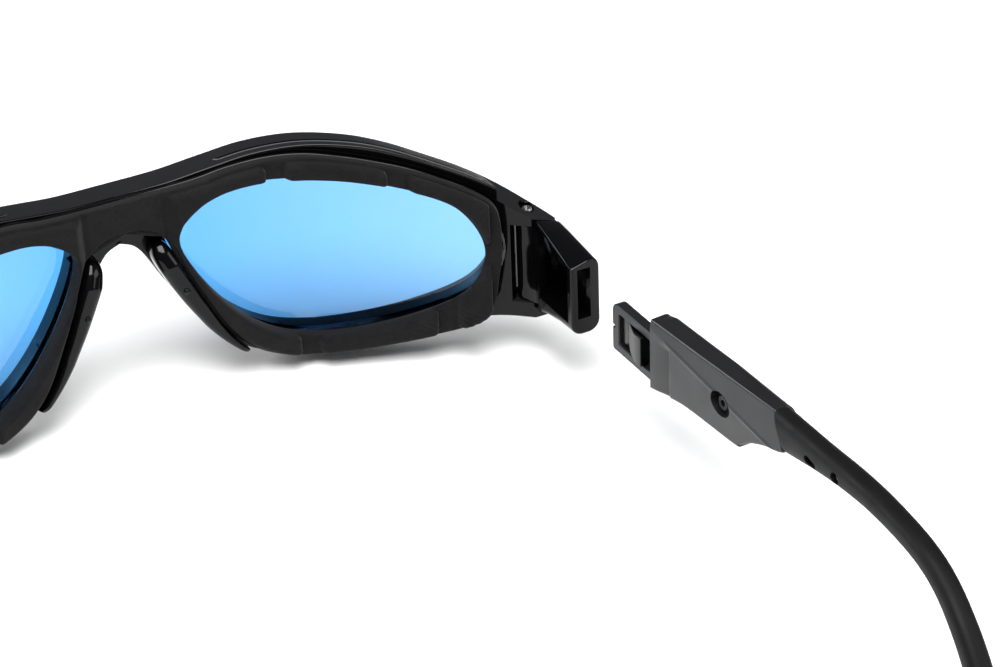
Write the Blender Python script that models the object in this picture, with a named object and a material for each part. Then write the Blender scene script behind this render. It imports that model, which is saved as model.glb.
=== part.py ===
"""Sports protective goggles: a wrapped front frame with blue lenses, a foam gasket on a rigid carrier,
and two temples. Each temple is a short socket on a screw hinge and an arm that plugs into it with a
latched tab.

The wearer looks along -Y, so the right side is at -X and the temples run to +Y. A side is built from u,
the distance from the middle plane, y and z; `side` is -1 for the right and +1 for the left. The right
arm is shown pulled out of its socket and the left one is home. Lengths are in metres, written as
millimetres times MM."""

import math

import bmesh
import bpy
import numpy as np
from mathutils import Matrix, Vector

MM = 0.001
RIGHT = -1
LEFT = 1
SIDE_NAMES = {RIGHT: "right", LEFT: "left"}

# Overall shape of the front
WRAP_RADIUS = 104.0 * MM
FRONT_HALF_WIDTH = 77.2 * MM
FRAME_FRONT = -2.0 * MM
FRAME_BACK = 4.7 * MM

# Fits
FIT_GAP = 0.3 * MM
RUNNING_GAP = 0.25 * MM
THREAD_GAP = 0.1 * MM
CAVITY_SKIN = 0.1 * MM

# Lens and what holds it
LENS_THICKNESS = 2.0 * MM
LENS_LAP = 1.3 * MM
LENS_SINK = 0.1 * MM
BEZEL_GROWTH = 0.7 * MM
CARRIER_THICKNESS = 1.0 * MM
CARRIER_INSET = 0.5 * MM

# Foam gasket
FOAM_BASE = 1.9 * MM
PAD_HEIGHT = 2.3 * MM
PAD_INSET = 0.8 * MM
PAD_OUTER_LIMIT = 62.8 * MM
CHANNEL_WIDTH = 3.2 * MM
TOP_CHANNELS = (28.3 * MM, 49.0 * MM)
BOTTOM_CHANNELS = (32.2 * MM, 56.0 * MM)
BRIDGE_HALF = 9.0 * MM

# Nose pieces
NOSE_BACK = 10.3 * MM
STUD_RADIUS = 0.6 * MM
STUD_HEAD = 0.6 * MM
STUDS = {"upper": (8.0 * MM, 5.2 * MM, 8.3 * MM), "lower": (9.7 * MM, -1.6 * MM, NOSE_BACK)}
# The sloped cut of the nose pieces: (y, z) of its ends
SLOPE_LOW = (NOSE_BACK + 2.0 * MM, 0.5 * MM)
SLOPE_HIGH = (FRAME_BACK + 1.6 * MM, 12.0 * MM)

# Hinge, inside the frame's side edge and behind the wrapped surface
HINGE_INSET = 5.9 * MM
HINGE_DEPTH = 1.0 * MM
EAR_LENGTH = 3.1 * MM
# The sloped facet on top of the ear: where it starts, its height at the hinge on the front face, and how
# fast it falls with u and with y
FACET_START = 11.4 * MM
FACET_TOP = 8.4 * MM
FACET_FALL_U = 0.34
FACET_FALL_Y = 0.43
KNUCKLE_RADIUS = 2.1 * MM
KNUCKLE_TOP = 4.1 * MM
KNUCKLE_BOTTOM = -11.8 * MM
KNUCKLE_CLEARANCE = 0.4 * MM
SHOULDER_INSET = 0.15 * MM
SCREW_RADIUS = 0.65 * MM
SCREW_HEAD_RADIUS = 1.05 * MM
SCREW_HEAD_TOP = 6.9 * MM
SCREW_HEAD_HEIGHT = 0.6 * MM
SCREW_RECESS_HALF = (0.6 * MM, 0.14 * MM)
SCREW_RECESS_DEPTH = 0.35 * MM
# Room for the knuckle's neck when the temple folds, inside the frame's end
SWING_ROOM = 0.6 * MM
SWING_REACH = 4.0 * MM
SLOT_BEYOND = 9.0 * MM
COUNTERBORE_RADIUS = 1.45 * MM
SCREW_END = -14.6 * MM
INSERT_RADIUS = 1.3 * MM
INSERT_TOP = -13.1 * MM
INSERT_BOTTOM = -15.0 * MM

# Temple socket: its section across Y, its length, the mouth slot's wall and the side pocket
SOCKET_INSET = 0.2 * MM
SOCKET_WIDTH = 6.0 * MM
# Its top and bottom at shares of its length, in millimetres
SOCKET_SECTIONS = ((0.0, 4.2, -14.0), (0.25, 4.1, -13.2), (0.6, 3.8, -12.6), (1.0, 3.4, -12.6))
NECK_DEPTH = 0.5 * MM
SHOULDER_STEPS = (0.0, 1.4 * MM, 2.8 * MM)
SOCKET_LENGTH = 13.5 * MM
SEAM_GAP = 0.5 * MM
SOCKET_CHAMFER = 1.3 * MM
SOCKET_OUTER_CHAMFER = 2.0 * MM
MOUTH_WALL = 1.5 * MM
POCKET_WALL = 1.1 * MM
POCKET_BACK_WALL = 1.2 * MM
POCKET_BOTTOM = -10.3 * MM
POCKET_TOP = 1.5 * MM

# Tab, and the slot it goes into
TAB_WALL = 1.6 * MM
TAB_THICKNESS = 2.1 * MM
TAB_LENGTH = 13.6 * MM
TAB_TOP = 1.0 * MM
TAB_BOTTOM = -8.9 * MM
TAB_FRONT_BAR = 2.2 * MM
TAB_SIDE_BAR = 1.7 * MM

# Temple arm: its thickness, how far the outer side stands above the inner one, and where it is shown
ARM_SETBACK = 1.2 * MM
ARM_THICKNESS = 4.7 * MM
ARM_EDGE = 0.5 * MM
ARM_CROWN = 0.9 * MM
ARM_HOME_GAP = 0.3 * MM
PULL_OUT = 25.5 * MM
RIGHT_PULL = PULL_OUT
LEFT_PULL = 0.0

# Latch tongue in the tab's window
HOOK_HEIGHT = 0.8 * MM
HOOK_LENGTH = 2.3 * MM
HOOK_RAMP = 4.1 * MM
LATCH_THICKNESS = 1.2 * MM
LATCH_INSET = 0.3 * MM
LATCH_END_GAP = 2.4 * MM

# Core, tip and their fasteners, along Y from the arm's front face
CORE_THICKNESS = 1.2 * MM
CORE_HALF_HEIGHT = 1.1 * MM
CORE_COVER = 1.8 * MM
ARM_SCREW_Y = 23.4 * MM
ARM_SCREW_Z = -0.7 * MM
ARM_SCREW_HEAD = 1.5 * MM
ARM_SCREW_RADIUS = 0.7 * MM
ARM_SCREW_REACH = 0.9 * MM
FASTENER_HEIGHT = 0.9 * MM
EYELET_RADIUS = 2.2 * MM
RECESS_HALF = (3.0 * MM, 2.2 * MM)
TIP_PIN_Y = 57.6 * MM
TIP_PIN_Z = 3.9 * MM
TIP_PIN_RADIUS = 0.8 * MM
KEYHOLE_Y = 50.5 * MM
KEYHOLE_Z = 3.0 * MM
KEYHOLE_HALF = (1.6 * MM, 0.8 * MM)
KEYHOLE_DEPTH = 1.0 * MM

STRIPS = 40
SLAB_REACH = 1.05
TALL = 60.0 * MM
# How far a cutter reaches past what it cuts, and how far joined bodies run into each other
PAST = 1.0 * MM
LAP = 0.2 * MM
DRAWN_HALF_WIDTH = 77.2

# One half of each outline, as (u, z) in millimetres, from the middle plane outwards and round
FRAME_TOP = [(0, 18.2), (6, 18.3), (11.3, 18.7), (18.9, 20.0), (26.4, 21.4), (35, 21.9), (43.9, 20.8),
             (50.4, 19.0), (56.7, 16.4), (62.8, 13.7), (68.6, 10.4), (74.1, 6.3), (77.2, 3.6)]
FRAME_UNDER = [(76.0, -15.3), (66, -15.5), (60, -17.0), (53, -19.2), (46, -20.9), (38, -21.8),
               (31, -21.8), (24.5, -20.6), (19.5, -17.6), (15.4, -13.5), (12.9, -9.8), (10.4, -6.0),
               (8.3, -2.4), (6.3, 1.5), (4.6, 4.6), (2.6, 7.1), (0, 8.3)]
FRAME_CORNER = (77.2, -14.0)
FOAM_OUTER = [(0, 18.2), (8, 18.3), (15, 18.9), (21, 20.1), (28, 20.9), (34.5, 20.7), (41.7, 19.2),
              (48.2, 17.4), (53, 15.8), (57.5, 13.8), (61.3, 11.9), (64.0, 9.7), (65.0, 6.5), (65.2, 0),
              (64.6, -6), (63.9, -11.0), (62.4, -14.6), (58.5, -17.2), (51.5, -19.4), (44.5, -20.8),
              (37.5, -21.4), (30.5, -21.2), (24.5, -19.4), (20.0, -16.0), (17.4, -12.6), (15.5, -9.0),
              (13.4, -4.6), (11.2, 0.2), (9.6, 4.4), (8.2, 8.0), (6.0, 10.3), (3, 11.7), (0, 12.1)]
EYE_OPENING = [(10.0, 8.0), (14.2, 14.4), (23.0, 17.0), (35.0, 16.4), (47.5, 13.7), (58.0, 9.2),
               (62.6, 0.5), (59.6, -8.6), (49.5, -14.8), (37.0, -17.2), (26.0, -14.5), (16.4, -5.1)]
NOSE_OUTLINE = [(5.9, 8.2), (6.3, 5.3), (6.9, 1.5), (8.2, -2.6), (10.0, -6.0), (12.4, -9.6),
                (14.9, -13.0), (16.6, -12.4), (14.9, -9.0), (12.8, -4.6), (10.6, 0.2), (9.0, 4.4),
                (7.8, 7.4)]
# Side outline of the arm, (y from its front face, z), with the two top points first
ARM_SIDE = [(0.0, 4.2), (16.0, 5.0), (39.0, 6.4), (42.6, 0.1), (41.0, -0.6), (37.8, -1.4), (33.2, -3.3),
            (29.5, -5.7), (27.8, -6.5), (12.8, -7.6), (4.8, -9.1), (0.0, -10.2)]
# Middle line of the tip: (y from the arm's front face, z, u from the arm's inner side), with the half
# height and the half thickness at each point
TIP_LINE = [(40.8, 3.25, 2.15), (51.8, 4.0, 2.1), (60.8, 4.5, 2.1), (69.3, 4.3, 2.0), (79.2, 3.2, 1.6),
            (86.0, 0.9, 1.2), (92.0, -3.2, 0.6), (97.0, -8.4, 0.1), (101.2, -14.0, -0.5),
            (104.2, -19.2, -1.1), (106.2, -23.6, -1.7)]
TIP_HALF_HEIGHT = [3.2, 2.6, 2.15, 1.95, 1.9, 1.9, 1.95, 2.05, 2.1, 2.0, 1.4]
TIP_HALF_THICKNESS = [2.15, 2.1, 2.1, 2.05, 2.0, 2.0, 2.05, 2.1, 2.1, 1.9, 1.2]
TIP_SQUARENESS = 0.7
# How far the tip's first section leans to follow the arm's slanted end, and its gap from that end
TIP_LEAN = 0.55
TIP_LEAN_SHARE = 1 / 6
TIP_GAP = 0.35 * MM
CORE_LINE = [(ARM_SCREW_Y / MM, ARM_SCREW_Z / MM), (28.0, 0.9), (34.0, 2.5), (41.0, 3.3), (51.8, 4.0),
             (60.8, 4.4), (68.0, 4.3), (74.0, 3.9)]


def smooth_line(points, per_span):
    """A Catmull-Rom curve through the points, with per_span steps in each span."""
    p = np.array(points, float)
    ends = np.vstack([2 * p[0] - p[1], p, 2 * p[-1] - p[-2]])
    t = np.linspace(0, 1, per_span, endpoint=False)[None, :, None]
    a, b, c, d = (ends[k:len(ends) - 3 + k][:, None, :] for k in range(4))
    square = (2 * a - 5 * b + 4 * c - d) * t ** 2
    cube = (3 * b - a - 3 * c + d) * t ** 3
    curve = 0.5 * (2 * b + (c - a) * t + square + cube)
    return np.vstack([curve.reshape(-1, p.shape[1]), p[-1]])


def smooth_loop(points, per_span):
    """A closed Catmull-Rom curve through the points."""
    p = np.array(points, float)
    wrapped = np.vstack([p[-1], p, p[0], p[1]])
    return smooth_line(wrapped, per_span)[per_span:-per_span - 1]


def grow(loop, distance):
    """Moves each point of a closed loop outwards by distance."""
    after = np.roll(loop, -1, axis=0) - loop
    before = loop - np.roll(loop, 1, axis=0)
    after /= np.linalg.norm(after, axis=1)[:, None]
    before /= np.linalg.norm(before, axis=1)[:, None]
    x, y = loop.T
    turn = np.sign(np.sum(x * np.roll(y, -1) - np.roll(x, -1) * y))
    normal = (before + after)[:, ::-1] * np.array([1.0, -1.0]) * turn
    normal /= np.linalg.norm(normal, axis=1)[:, None]
    return loop + normal * distance


def both_halves(half):
    """A closed outline from one half that starts and ends on the middle plane."""
    return np.vstack([half, (half * np.array([-1.0, 1.0]))[-2:0:-1]])


def material(name, colour, roughness, metallic=0.0, alpha=1.0):
    """A Principled material, made once for each name."""
    made = bpy.data.materials.get(name)
    if made is None:
        made = bpy.data.materials.new(name)
        made.use_nodes = True
        shader = made.node_tree.nodes["Principled BSDF"]
        shader.inputs["Base Color"].default_value = (*colour, 1.0)
        shader.inputs["Roughness"].default_value = roughness
        shader.inputs["Metallic"].default_value = metallic
        shader.inputs["Alpha"].default_value = alpha
    return made


SATIN_BLACK = ("satin_black_nylon", (0.012, 0.012, 0.013), 0.42)
GLOSS_BLACK = ("gloss_black_nylon", (0.008, 0.008, 0.009), 0.12)
FOAM_CHARCOAL = ("charcoal_foam", (0.02, 0.019, 0.02), 0.95)
BLUE_LENS = ("blue_polycarbonate", (0.13, 0.45, 0.95), 0.05, 0.0, 0.5)
STEEL = ("stainless_steel", (0.62, 0.6, 0.57), 0.3, 1.0)
BRASS = ("brass", (0.75, 0.55, 0.25), 0.35, 1.0)
RUBBER_BLACK = ("black_rubber", (0.012, 0.012, 0.012), 0.7)


def new_object(name, vertices, faces, finish=SATIN_BLACK):
    """One mesh object whose faces point outwards."""
    mesh = bpy.data.meshes.new(name)
    mesh.from_pydata([tuple(v) for v in vertices], [], [tuple(f) for f in faces])
    work = bmesh.new()
    work.from_mesh(mesh)
    bmesh.ops.recalc_face_normals(work, faces=work.faces)
    work.to_mesh(mesh)
    work.free()
    made = bpy.data.objects.new(name, mesh)
    bpy.context.collection.objects.link(made)
    made.data.materials.append(material(*finish))
    return made


def loft(name, rings, finish=SATIN_BLACK):
    """A closed body through rings of equal length, capped at both ends."""
    rings = np.asarray(rings, float)
    count, size = rings.shape[:2]
    around = np.arange(size)
    following = np.roll(around, -1)
    faces = [list(around[::-1]), list(around + (count - 1) * size)]
    for k in range(count - 1):
        low, high = k * size, (k + 1) * size
        faces += [[a + low, b + low, b + high, a + high] for a, b in zip(around, following)]
    return new_object(name, rings.reshape(-1, 3), faces, finish)


def prism(name, loop, axis, low, high, finish=SATIN_BLACK):
    """Extrudes a closed outline, which holds the other two coordinates in order, along axis 0, 1 or 2."""
    rings = []
    for level in (low, high):
        rings.append(np.insert(np.asarray(loop, float), axis, level, axis=1))
    return loft(name, rings, finish)


def box(name, low, high, finish=SATIN_BLACK):
    """A box between two corners, given in any order."""
    (x0, y0, z0), (x1, y1, z1) = np.sort([low, high], axis=0)
    return prism(name, [(x0, y0), (x1, y0), (x1, y1), (x0, y1)], 2, z0, z1, finish)


def round_bar(name, centre, radius, axis, low, high, sides=20, finish=STEEL):
    """A round bar along axis 0, 1 or 2; centre holds the other two coordinates in order."""
    turn = np.linspace(0, 2 * math.pi, sides, endpoint=False)
    loop = np.stack([np.cos(turn), np.sin(turn)], 1) * radius + np.array(centre)
    made = prism(name, loop, axis, low, high, finish)
    made.data.shade_smooth()
    made.data.set_sharp_from_angle(angle=math.radians(40))
    return made


def wrap(u):
    """How far back the wrapped surface lies at u from the middle plane."""
    return WRAP_RADIUS - np.sqrt(WRAP_RADIUS ** 2 - np.asarray(u) ** 2)


def wrapped_slab(name, front, back):
    """A tall curved slab between two offsets from the wrapped surface, measured along Y."""
    reach = FRONT_HALF_WIDTH * SLAB_REACH
    u = np.linspace(-reach, reach, STRIPS + 1)
    there = np.stack([u, wrap(u) + front], 1)
    back_again = np.stack([u, wrap(u) + back], 1)[::-1]
    return prism(name, np.vstack([there, back_again]), 2, -TALL, TALL)


def combine(target, other, operation):
    """Joins, cuts or intersects target with other, and removes other."""
    step = target.modifiers.new(operation, "BOOLEAN")
    step.operation = operation
    step.solver = "EXACT"
    step.object = other
    bpy.context.view_layer.update()
    evaluated = target.evaluated_get(bpy.context.evaluated_depsgraph_get())
    result = bpy.data.meshes.new_from_object(evaluated)
    target.modifiers.clear()
    old = target.data
    target.data = result
    bpy.data.meshes.remove(old)
    gone = other.data
    bpy.data.objects.remove(other)
    bpy.data.meshes.remove(gone)
    return target


def wrapped_plate(name, outline, front, back, finish):
    """The part of a wrapped slab that lies inside an outline in (x, z)."""
    plate = prism(name, outline, 1, -TALL, 2 * TALL, finish)
    return combine(plate, wrapped_slab("slab", front, back), "INTERSECT")


def mirrored(outline, side):
    """Puts an outline of one side, whose first coordinate is u, on that side."""
    return np.asarray(outline) * np.array([side, 1.0])


def eye_outline(side, growth):
    """The eye opening of one side, grown by a distance."""
    return mirrored(grow(place(smooth_loop(EYE_OPENING, 4)), growth), side)


def frame_outline():
    """Outline of the front frame: the brow, the hinge ends and the under edge."""
    top = smooth_line(FRAME_TOP, 2)
    under = smooth_line(FRAME_UNDER, 2)
    return both_halves(place(np.vstack([top, FRAME_CORNER, under])))


def place(outline):
    """Stretches a half outline in millimetres to the front's half width."""
    return np.array(outline, float) * np.array([FRONT_HALF_WIDTH / DRAWN_HALF_WIDTH, MM])


LENS_BACK = FRAME_BACK - LENS_SINK
LENS_FRONT = LENS_BACK - LENS_THICKNESS
CARRIER_FRONT = FRAME_BACK + FIT_GAP
CARRIER_BACK = CARRIER_FRONT + CARRIER_THICKNESS
FOAM_FRONT = CARRIER_BACK + FIT_GAP
PAD_FRONT = FOAM_FRONT + FOAM_BASE
PAD_BACK = PAD_FRONT + PAD_HEIGHT
LENS_GROWTH = BEZEL_GROWTH + LENS_LAP
HINGE_U = FRONT_HALF_WIDTH - HINGE_INSET
HINGE_Y = float(wrap(HINGE_U)) + HINGE_DEPTH
FRAME_END_Y = HINGE_Y + EAR_LENGTH
HINGE_TURN = math.atan2(HINGE_U, math.sqrt(WRAP_RADIUS ** 2 - HINGE_U ** 2))
SLOT_TOP = KNUCKLE_TOP + FIT_GAP
SLOT_BOTTOM = KNUCKLE_BOTTOM - FIT_GAP
SOCKET_INNER = HINGE_U - SOCKET_INSET
SOCKET_OUTER = SOCKET_INNER + SOCKET_WIDTH
SOCKET_FRONT = FRAME_END_Y + SEAM_GAP
SOCKET_MOUTH = SOCKET_FRONT + SOCKET_LENGTH
POCKET_FLOOR = SOCKET_OUTER - POCKET_BACK_WALL
TAB_INNER = SOCKET_INNER + TAB_WALL
ARM_INNER = SOCKET_INNER + ARM_SETBACK
ARM_OUTER = ARM_INNER + ARM_THICKNESS
CORE_INNER = ARM_INNER + CORE_COVER
CORE_OUTER = CORE_INNER + CORE_THICKNESS


def hinge_plan(points):
    """Turns (along the frame, towards the face) distances from the hinge axis into (u, y)."""
    along = np.array([math.cos(HINGE_TURN), math.sin(HINGE_TURN)])
    inward = np.array([-along[1], along[0]])
    points = np.asarray(points, float)
    return np.array([HINGE_U, HINGE_Y]) + points[:, :1] * along + points[:, 1:] * inward


def arc_points(radius, start, end, count):
    """Points (along, inward) on a circle about the hinge axis, between two angles in degrees."""
    turn = np.radians(np.linspace(start, end, count))
    return np.stack([np.cos(turn), np.sin(turn)], 1) * radius


def knuckle_plan():
    """Plan of the socket's knuckle and neck, as (u, y)."""
    round_part = hinge_plan(arc_points(KNUCKLE_RADIUS, 270, 90, 13))
    behind = SOCKET_FRONT + NECK_DEPTH
    rear = [(SOCKET_INNER, behind), (SOCKET_OUTER, behind)]
    shoulder_u = SOCKET_OUTER - np.array(SHOULDER_STEPS)
    shoulder_y = np.minimum(wrap(shoulder_u) + FRAME_FRONT + SHOULDER_INSET, SOCKET_FRONT)
    shoulder = np.stack([shoulder_u, shoulder_y], 1)
    return np.vstack([round_part, rear, shoulder])


def slot_plan():
    """Plan of the gap in the frame's end that the knuckle turns in, as (u, y)."""
    clear = KNUCKLE_RADIUS + KNUCKLE_CLEARANCE
    round_part = hinge_plan(arc_points(clear, 270, 150, 9))
    swing = hinge_plan([[-clear, KNUCKLE_RADIUS + SWING_ROOM], [-clear, SLOT_BEYOND]])
    behind = FRAME_END_Y + SLOT_BEYOND
    rear = [(HINGE_U - SWING_REACH, behind), (FRONT_HALF_WIDTH + SLOT_BEYOND, behind)]
    outside = hinge_plan([[0.0, -SLOT_BEYOND]])
    return np.vstack([round_part, swing, rear, outside])


def ear_facet(side):
    """Cutter above the sloped facet on top of the upper ear."""
    near, far = 0.0, TALL
    front_y = float(wrap(HINGE_U)) + FRAME_FRONT
    rings = []
    for u in (FRONT_HALF_WIDTH - FACET_START, FRONT_HALF_WIDTH + TALL):
        heights = [FACET_TOP - FACET_FALL_U * (u - HINGE_U) - FACET_FALL_Y * (y - front_y) for y in (near, far)]
        x = side * u
        rings.append([(x, near, heights[0]), (x, far, heights[1]), (x, far, 2 * TALL), (x, near, 2 * TALL)])
    return loft("facet", rings)


def frame_front():
    """The front frame: bezels, lens seats, and the two forked hinge ends."""
    frame = wrapped_plate("frame_front", frame_outline(), FRAME_FRONT, FRAME_BACK, SATIN_BLACK)
    for side in (RIGHT, LEFT):
        hole = prism("bezel", eye_outline(side, BEZEL_GROWTH), 1, -TALL, TALL)
        combine(frame, hole, "DIFFERENCE")
        seat_outline = eye_outline(side, LENS_GROWTH + FIT_GAP)
        seat = wrapped_plate("seat", seat_outline, LENS_FRONT - FIT_GAP, FRAME_BACK + PAST, SATIN_BLACK)
        combine(frame, seat, "DIFFERENCE")
        far = FRONT_HALF_WIDTH + TALL
        end = box("end", (side * HINGE_U / 2, FRAME_END_Y, -TALL), (side * far, 2 * TALL, TALL))
        combine(frame, end, "DIFFERENCE")
        combine(frame, ear_facet(side), "DIFFERENCE")
        slot = prism("slot", mirrored(slot_plan(), side), 2, SLOT_BOTTOM, SLOT_TOP)
        combine(frame, slot, "DIFFERENCE")
        at = (side * HINGE_U, HINGE_Y)
        head_seat = SCREW_HEAD_TOP - SCREW_HEAD_HEIGHT - FIT_GAP
        bore = round_bar("bore", at, SCREW_RADIUS + FIT_GAP, 2, -TALL, TALL)
        head_bore = round_bar("head_bore", at, COUNTERBORE_RADIUS, 2, head_seat, TALL)
        insert_bore = round_bar("insert_bore", at, INSERT_RADIUS + FIT_GAP, 2, -TALL, INSERT_TOP + FIT_GAP)
        for hole in (bore, head_bore, insert_bore):
            combine(frame, hole, "DIFFERENCE")
    return frame


def lens(side):
    """One lens, lapping the bezel from behind."""
    outline = eye_outline(side, LENS_GROWTH)
    return wrapped_plate(f"lens_{SIDE_NAMES[side]}", outline, LENS_FRONT, LENS_BACK, BLUE_LENS)


def foam_outline(growth):
    """Outer outline of the foam and its carrier."""
    return grow(both_halves(place(smooth_line(FOAM_OUTER, 2))), growth)


def gasket_carrier():
    """The rigid sheet that closes the frame's back, traps the lenses and carries the foam."""
    carrier = wrapped_plate("gasket_carrier", foam_outline(0), CARRIER_FRONT, CARRIER_BACK, GLOSS_BLACK)
    for side in (RIGHT, LEFT):
        combine(carrier, prism("eye", eye_outline(side, CARRIER_INSET), 1, -TALL, TALL), "DIFFERENCE")
    return carrier


def foam_gasket():
    """The foam: a base layer all round and raised pads parted by channels and by the bridge."""
    foam = wrapped_plate("foam_gasket", foam_outline(0), FOAM_FRONT, PAD_FRONT, FOAM_CHARCOAL)
    pads = wrapped_plate("pads", foam_outline(-PAD_INSET), PAD_FRONT - LAP, PAD_BACK, FOAM_CHARCOAL)
    gap = CHANNEL_WIDTH / 2
    combine(pads, box("bridge", (-BRIDGE_HALF, -TALL, -TALL), (BRIDGE_HALF, TALL, TALL)), "DIFFERENCE")
    for side in (RIGHT, LEFT):
        limit = box("limit", (side * PAD_OUTER_LIMIT, -TALL, -TALL), (side * 2 * TALL, 2 * TALL, TALL))
        combine(pads, limit, "DIFFERENCE")
        combine(pads, prism("pad_eye", eye_outline(side, PAD_INSET), 1, -TALL, TALL), "DIFFERENCE")
        for middles, low, high in ((TOP_CHANNELS, 0.0, TALL), (BOTTOM_CHANNELS, -TALL, 0.0)):
            for u in middles:
                cut = box("channel", (side * (u - gap), -TALL, low), (side * (u + gap), TALL, high))
                combine(pads, cut, "DIFFERENCE")
    combine(foam, pads, "UNION")
    for side in (RIGHT, LEFT):
        combine(foam, prism("eye", eye_outline(side, 0), 1, -TALL, TALL), "DIFFERENCE")
    return foam


def stud_place(where):
    """Where a stud stands, stretched to the front's half width."""
    u, z, back = STUDS[where]
    return u * FRONT_HALF_WIDTH / (DRAWN_HALF_WIDTH * MM), z, back


def nose_piece(side):
    """The glossy nose pad beside the foam; its back slopes down to the frame at the top."""
    outline = mirrored(place(smooth_loop(NOSE_OUTLINE, 2)), side)
    name = f"nose_piece_{SIDE_NAMES[side]}"
    piece = wrapped_plate(name, outline, FRAME_BACK + FIT_GAP, NOSE_BACK, GLOSS_BLACK)
    slope = [SLOPE_LOW, (TALL, SLOPE_LOW[1]), (TALL, SLOPE_HIGH[1]), SLOPE_HIGH]
    combine(piece, prism("slope", slope, 0, -TALL, TALL), "DIFFERENCE")
    for u, z, _ in (stud_place(where) for where in STUDS):
        hole = round_bar("hole", (side * u, z), STUD_RADIUS + RUNNING_GAP, 1, 0, TALL, 14)
        combine(piece, hole, "DIFFERENCE")
    return piece


def nose_stud(side, where):
    """A small domed stud in the nose piece."""
    u, z, back = stud_place(where)
    front = FRAME_BACK + float(wrap(u)) + FIT_GAP
    end = back + float(wrap(u)) + STUD_HEAD
    turn = np.linspace(0, 2 * math.pi, 14, endpoint=False)
    circle = np.stack([np.cos(turn), np.sin(turn)], 1)
    rings = []
    for y, scale in ((front, 1.0), (end - STUD_RADIUS / 2, 1.0), (end, 0.55)):
        rings.append(np.insert(circle * STUD_RADIUS * scale + np.array([side * u, z]), 1, y, axis=1))
    return loft(f"nose_stud_{where}_{SIDE_NAMES[side]}", rings, GLOSS_BLACK)


def socket_section(side, y, bottom, top):
    """One eight-sided section of the socket across Y, with larger chamfers on its outer side."""
    low, high, inner, outer = SOCKET_INNER, SOCKET_OUTER, SOCKET_CHAMFER, SOCKET_OUTER_CHAMFER
    plan = [(low + inner, bottom), (high - outer, bottom), (high, bottom + outer), (high, top - outer),
            (high - outer, top), (low + inner, top), (low, top - inner), (low, bottom + inner)]
    return np.insert(mirrored(plan, side), 1, y, axis=1)


def temple_socket(side):
    """The hinged socket: knuckle and neck, a body with a side pocket, and the mouth slot for the tab."""
    name = f"temple_socket_{SIDE_NAMES[side]}"
    sections = []
    for along, top, bottom in SOCKET_SECTIONS:
        y = SOCKET_FRONT + along * (SOCKET_MOUTH - SOCKET_FRONT)
        sections.append(socket_section(side, y, bottom * MM, top * MM))
    socket = loft(name, sections, GLOSS_BLACK)
    knuckle = prism("knuckle", mirrored(knuckle_plan(), side), 2, KNUCKLE_BOTTOM, KNUCKLE_TOP)
    combine(socket, knuckle, "UNION")
    tab_front = SOCKET_MOUTH + ARM_HOME_GAP - TAB_LENGTH
    low = (side * (TAB_INNER - FIT_GAP), tab_front - FIT_GAP, TAB_BOTTOM - FIT_GAP)
    high = (side * (TAB_INNER + TAB_THICKNESS + FIT_GAP), SOCKET_MOUTH + PAST, TAB_TOP + FIT_GAP)
    combine(socket, box("slot", low, high), "DIFFERENCE")
    low = (side * (SOCKET_INNER - PAST), SOCKET_FRONT + POCKET_WALL, POCKET_BOTTOM)
    high = (side * POCKET_FLOOR, SOCKET_MOUTH - MOUTH_WALL, POCKET_TOP)
    combine(socket, box("pocket", low, high), "DIFFERENCE")
    bore = round_bar("bore", (side * HINGE_U, HINGE_Y), SCREW_RADIUS + RUNNING_GAP, 2, -TALL, TALL)
    return combine(socket, bore, "DIFFERENCE")


def hinge_screw(side):
    """The hinge screw, with a cross recess in its head."""
    at = (side * HINGE_U, HINGE_Y)
    under_head = SCREW_HEAD_TOP - SCREW_HEAD_HEIGHT
    name = f"hinge_screw_{SIDE_NAMES[side]}"
    screw = round_bar(name, at, SCREW_HEAD_RADIUS, 2, under_head, SCREW_HEAD_TOP)
    combine(screw, round_bar("shank", at, SCREW_RADIUS, 2, SCREW_END, under_head + LAP), "UNION")
    reach, half = SCREW_RECESS_HALF
    deep = SCREW_HEAD_TOP - SCREW_RECESS_DEPTH
    for du, dy in ((reach, half), (half, reach)):
        low = (at[0] - du, at[1] - dy, deep)
        high = (at[0] + du, at[1] + dy, SCREW_HEAD_TOP + PAST)
        combine(screw, box("recess", low, high), "DIFFERENCE")
    return screw


def hinge_insert(side):
    """The threaded brass insert in the lower ear."""
    at = (side * HINGE_U, HINGE_Y)
    name = f"hinge_insert_{SIDE_NAMES[side]}"
    insert = round_bar(name, at, INSERT_RADIUS, 2, INSERT_BOTTOM, INSERT_TOP, finish=BRASS)
    bore = round_bar("bore", at, SCREW_RADIUS + THREAD_GAP, 2, -TALL, TALL)
    return combine(insert, bore, "DIFFERENCE")


def arm_front(side):
    """Y of the arm's front face in the pose that is shown."""
    pull = RIGHT_PULL if side == RIGHT else LEFT_PULL
    return SOCKET_MOUTH + ARM_HOME_GAP + pull


def core_outline(growth):
    """Side outline of the core: a round eye for the arm screw and a strip along the tip's middle line."""
    line = smooth_line(CORE_LINE, 2) * MM
    step = np.gradient(line, axis=0)
    across = np.stack([-step[:, 1], step[:, 0]], 1) / np.linalg.norm(step, axis=1)[:, None]
    half = CORE_HALF_HEIGHT + growth
    keep = np.linalg.norm(line - line[0], axis=1) > EYELET_RADIUS + growth
    above = (line + across * half)[keep]
    below = (line - across * half)[keep]
    tail = step[-1] / np.linalg.norm(step[-1]) * growth
    above[-1] += tail
    below[-1] += tail
    start = np.arctan2(*(above[0] - line[0])[::-1])
    stop = np.arctan2(*(below[0] - line[0])[::-1]) + 2 * math.pi
    turn = np.linspace(start, stop, 14)[1:-1]
    eye = line[0] + np.stack([np.cos(turn), np.sin(turn)], 1) * (EYELET_RADIUS + growth)
    return np.vstack([above[::-1], eye, below])


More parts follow.
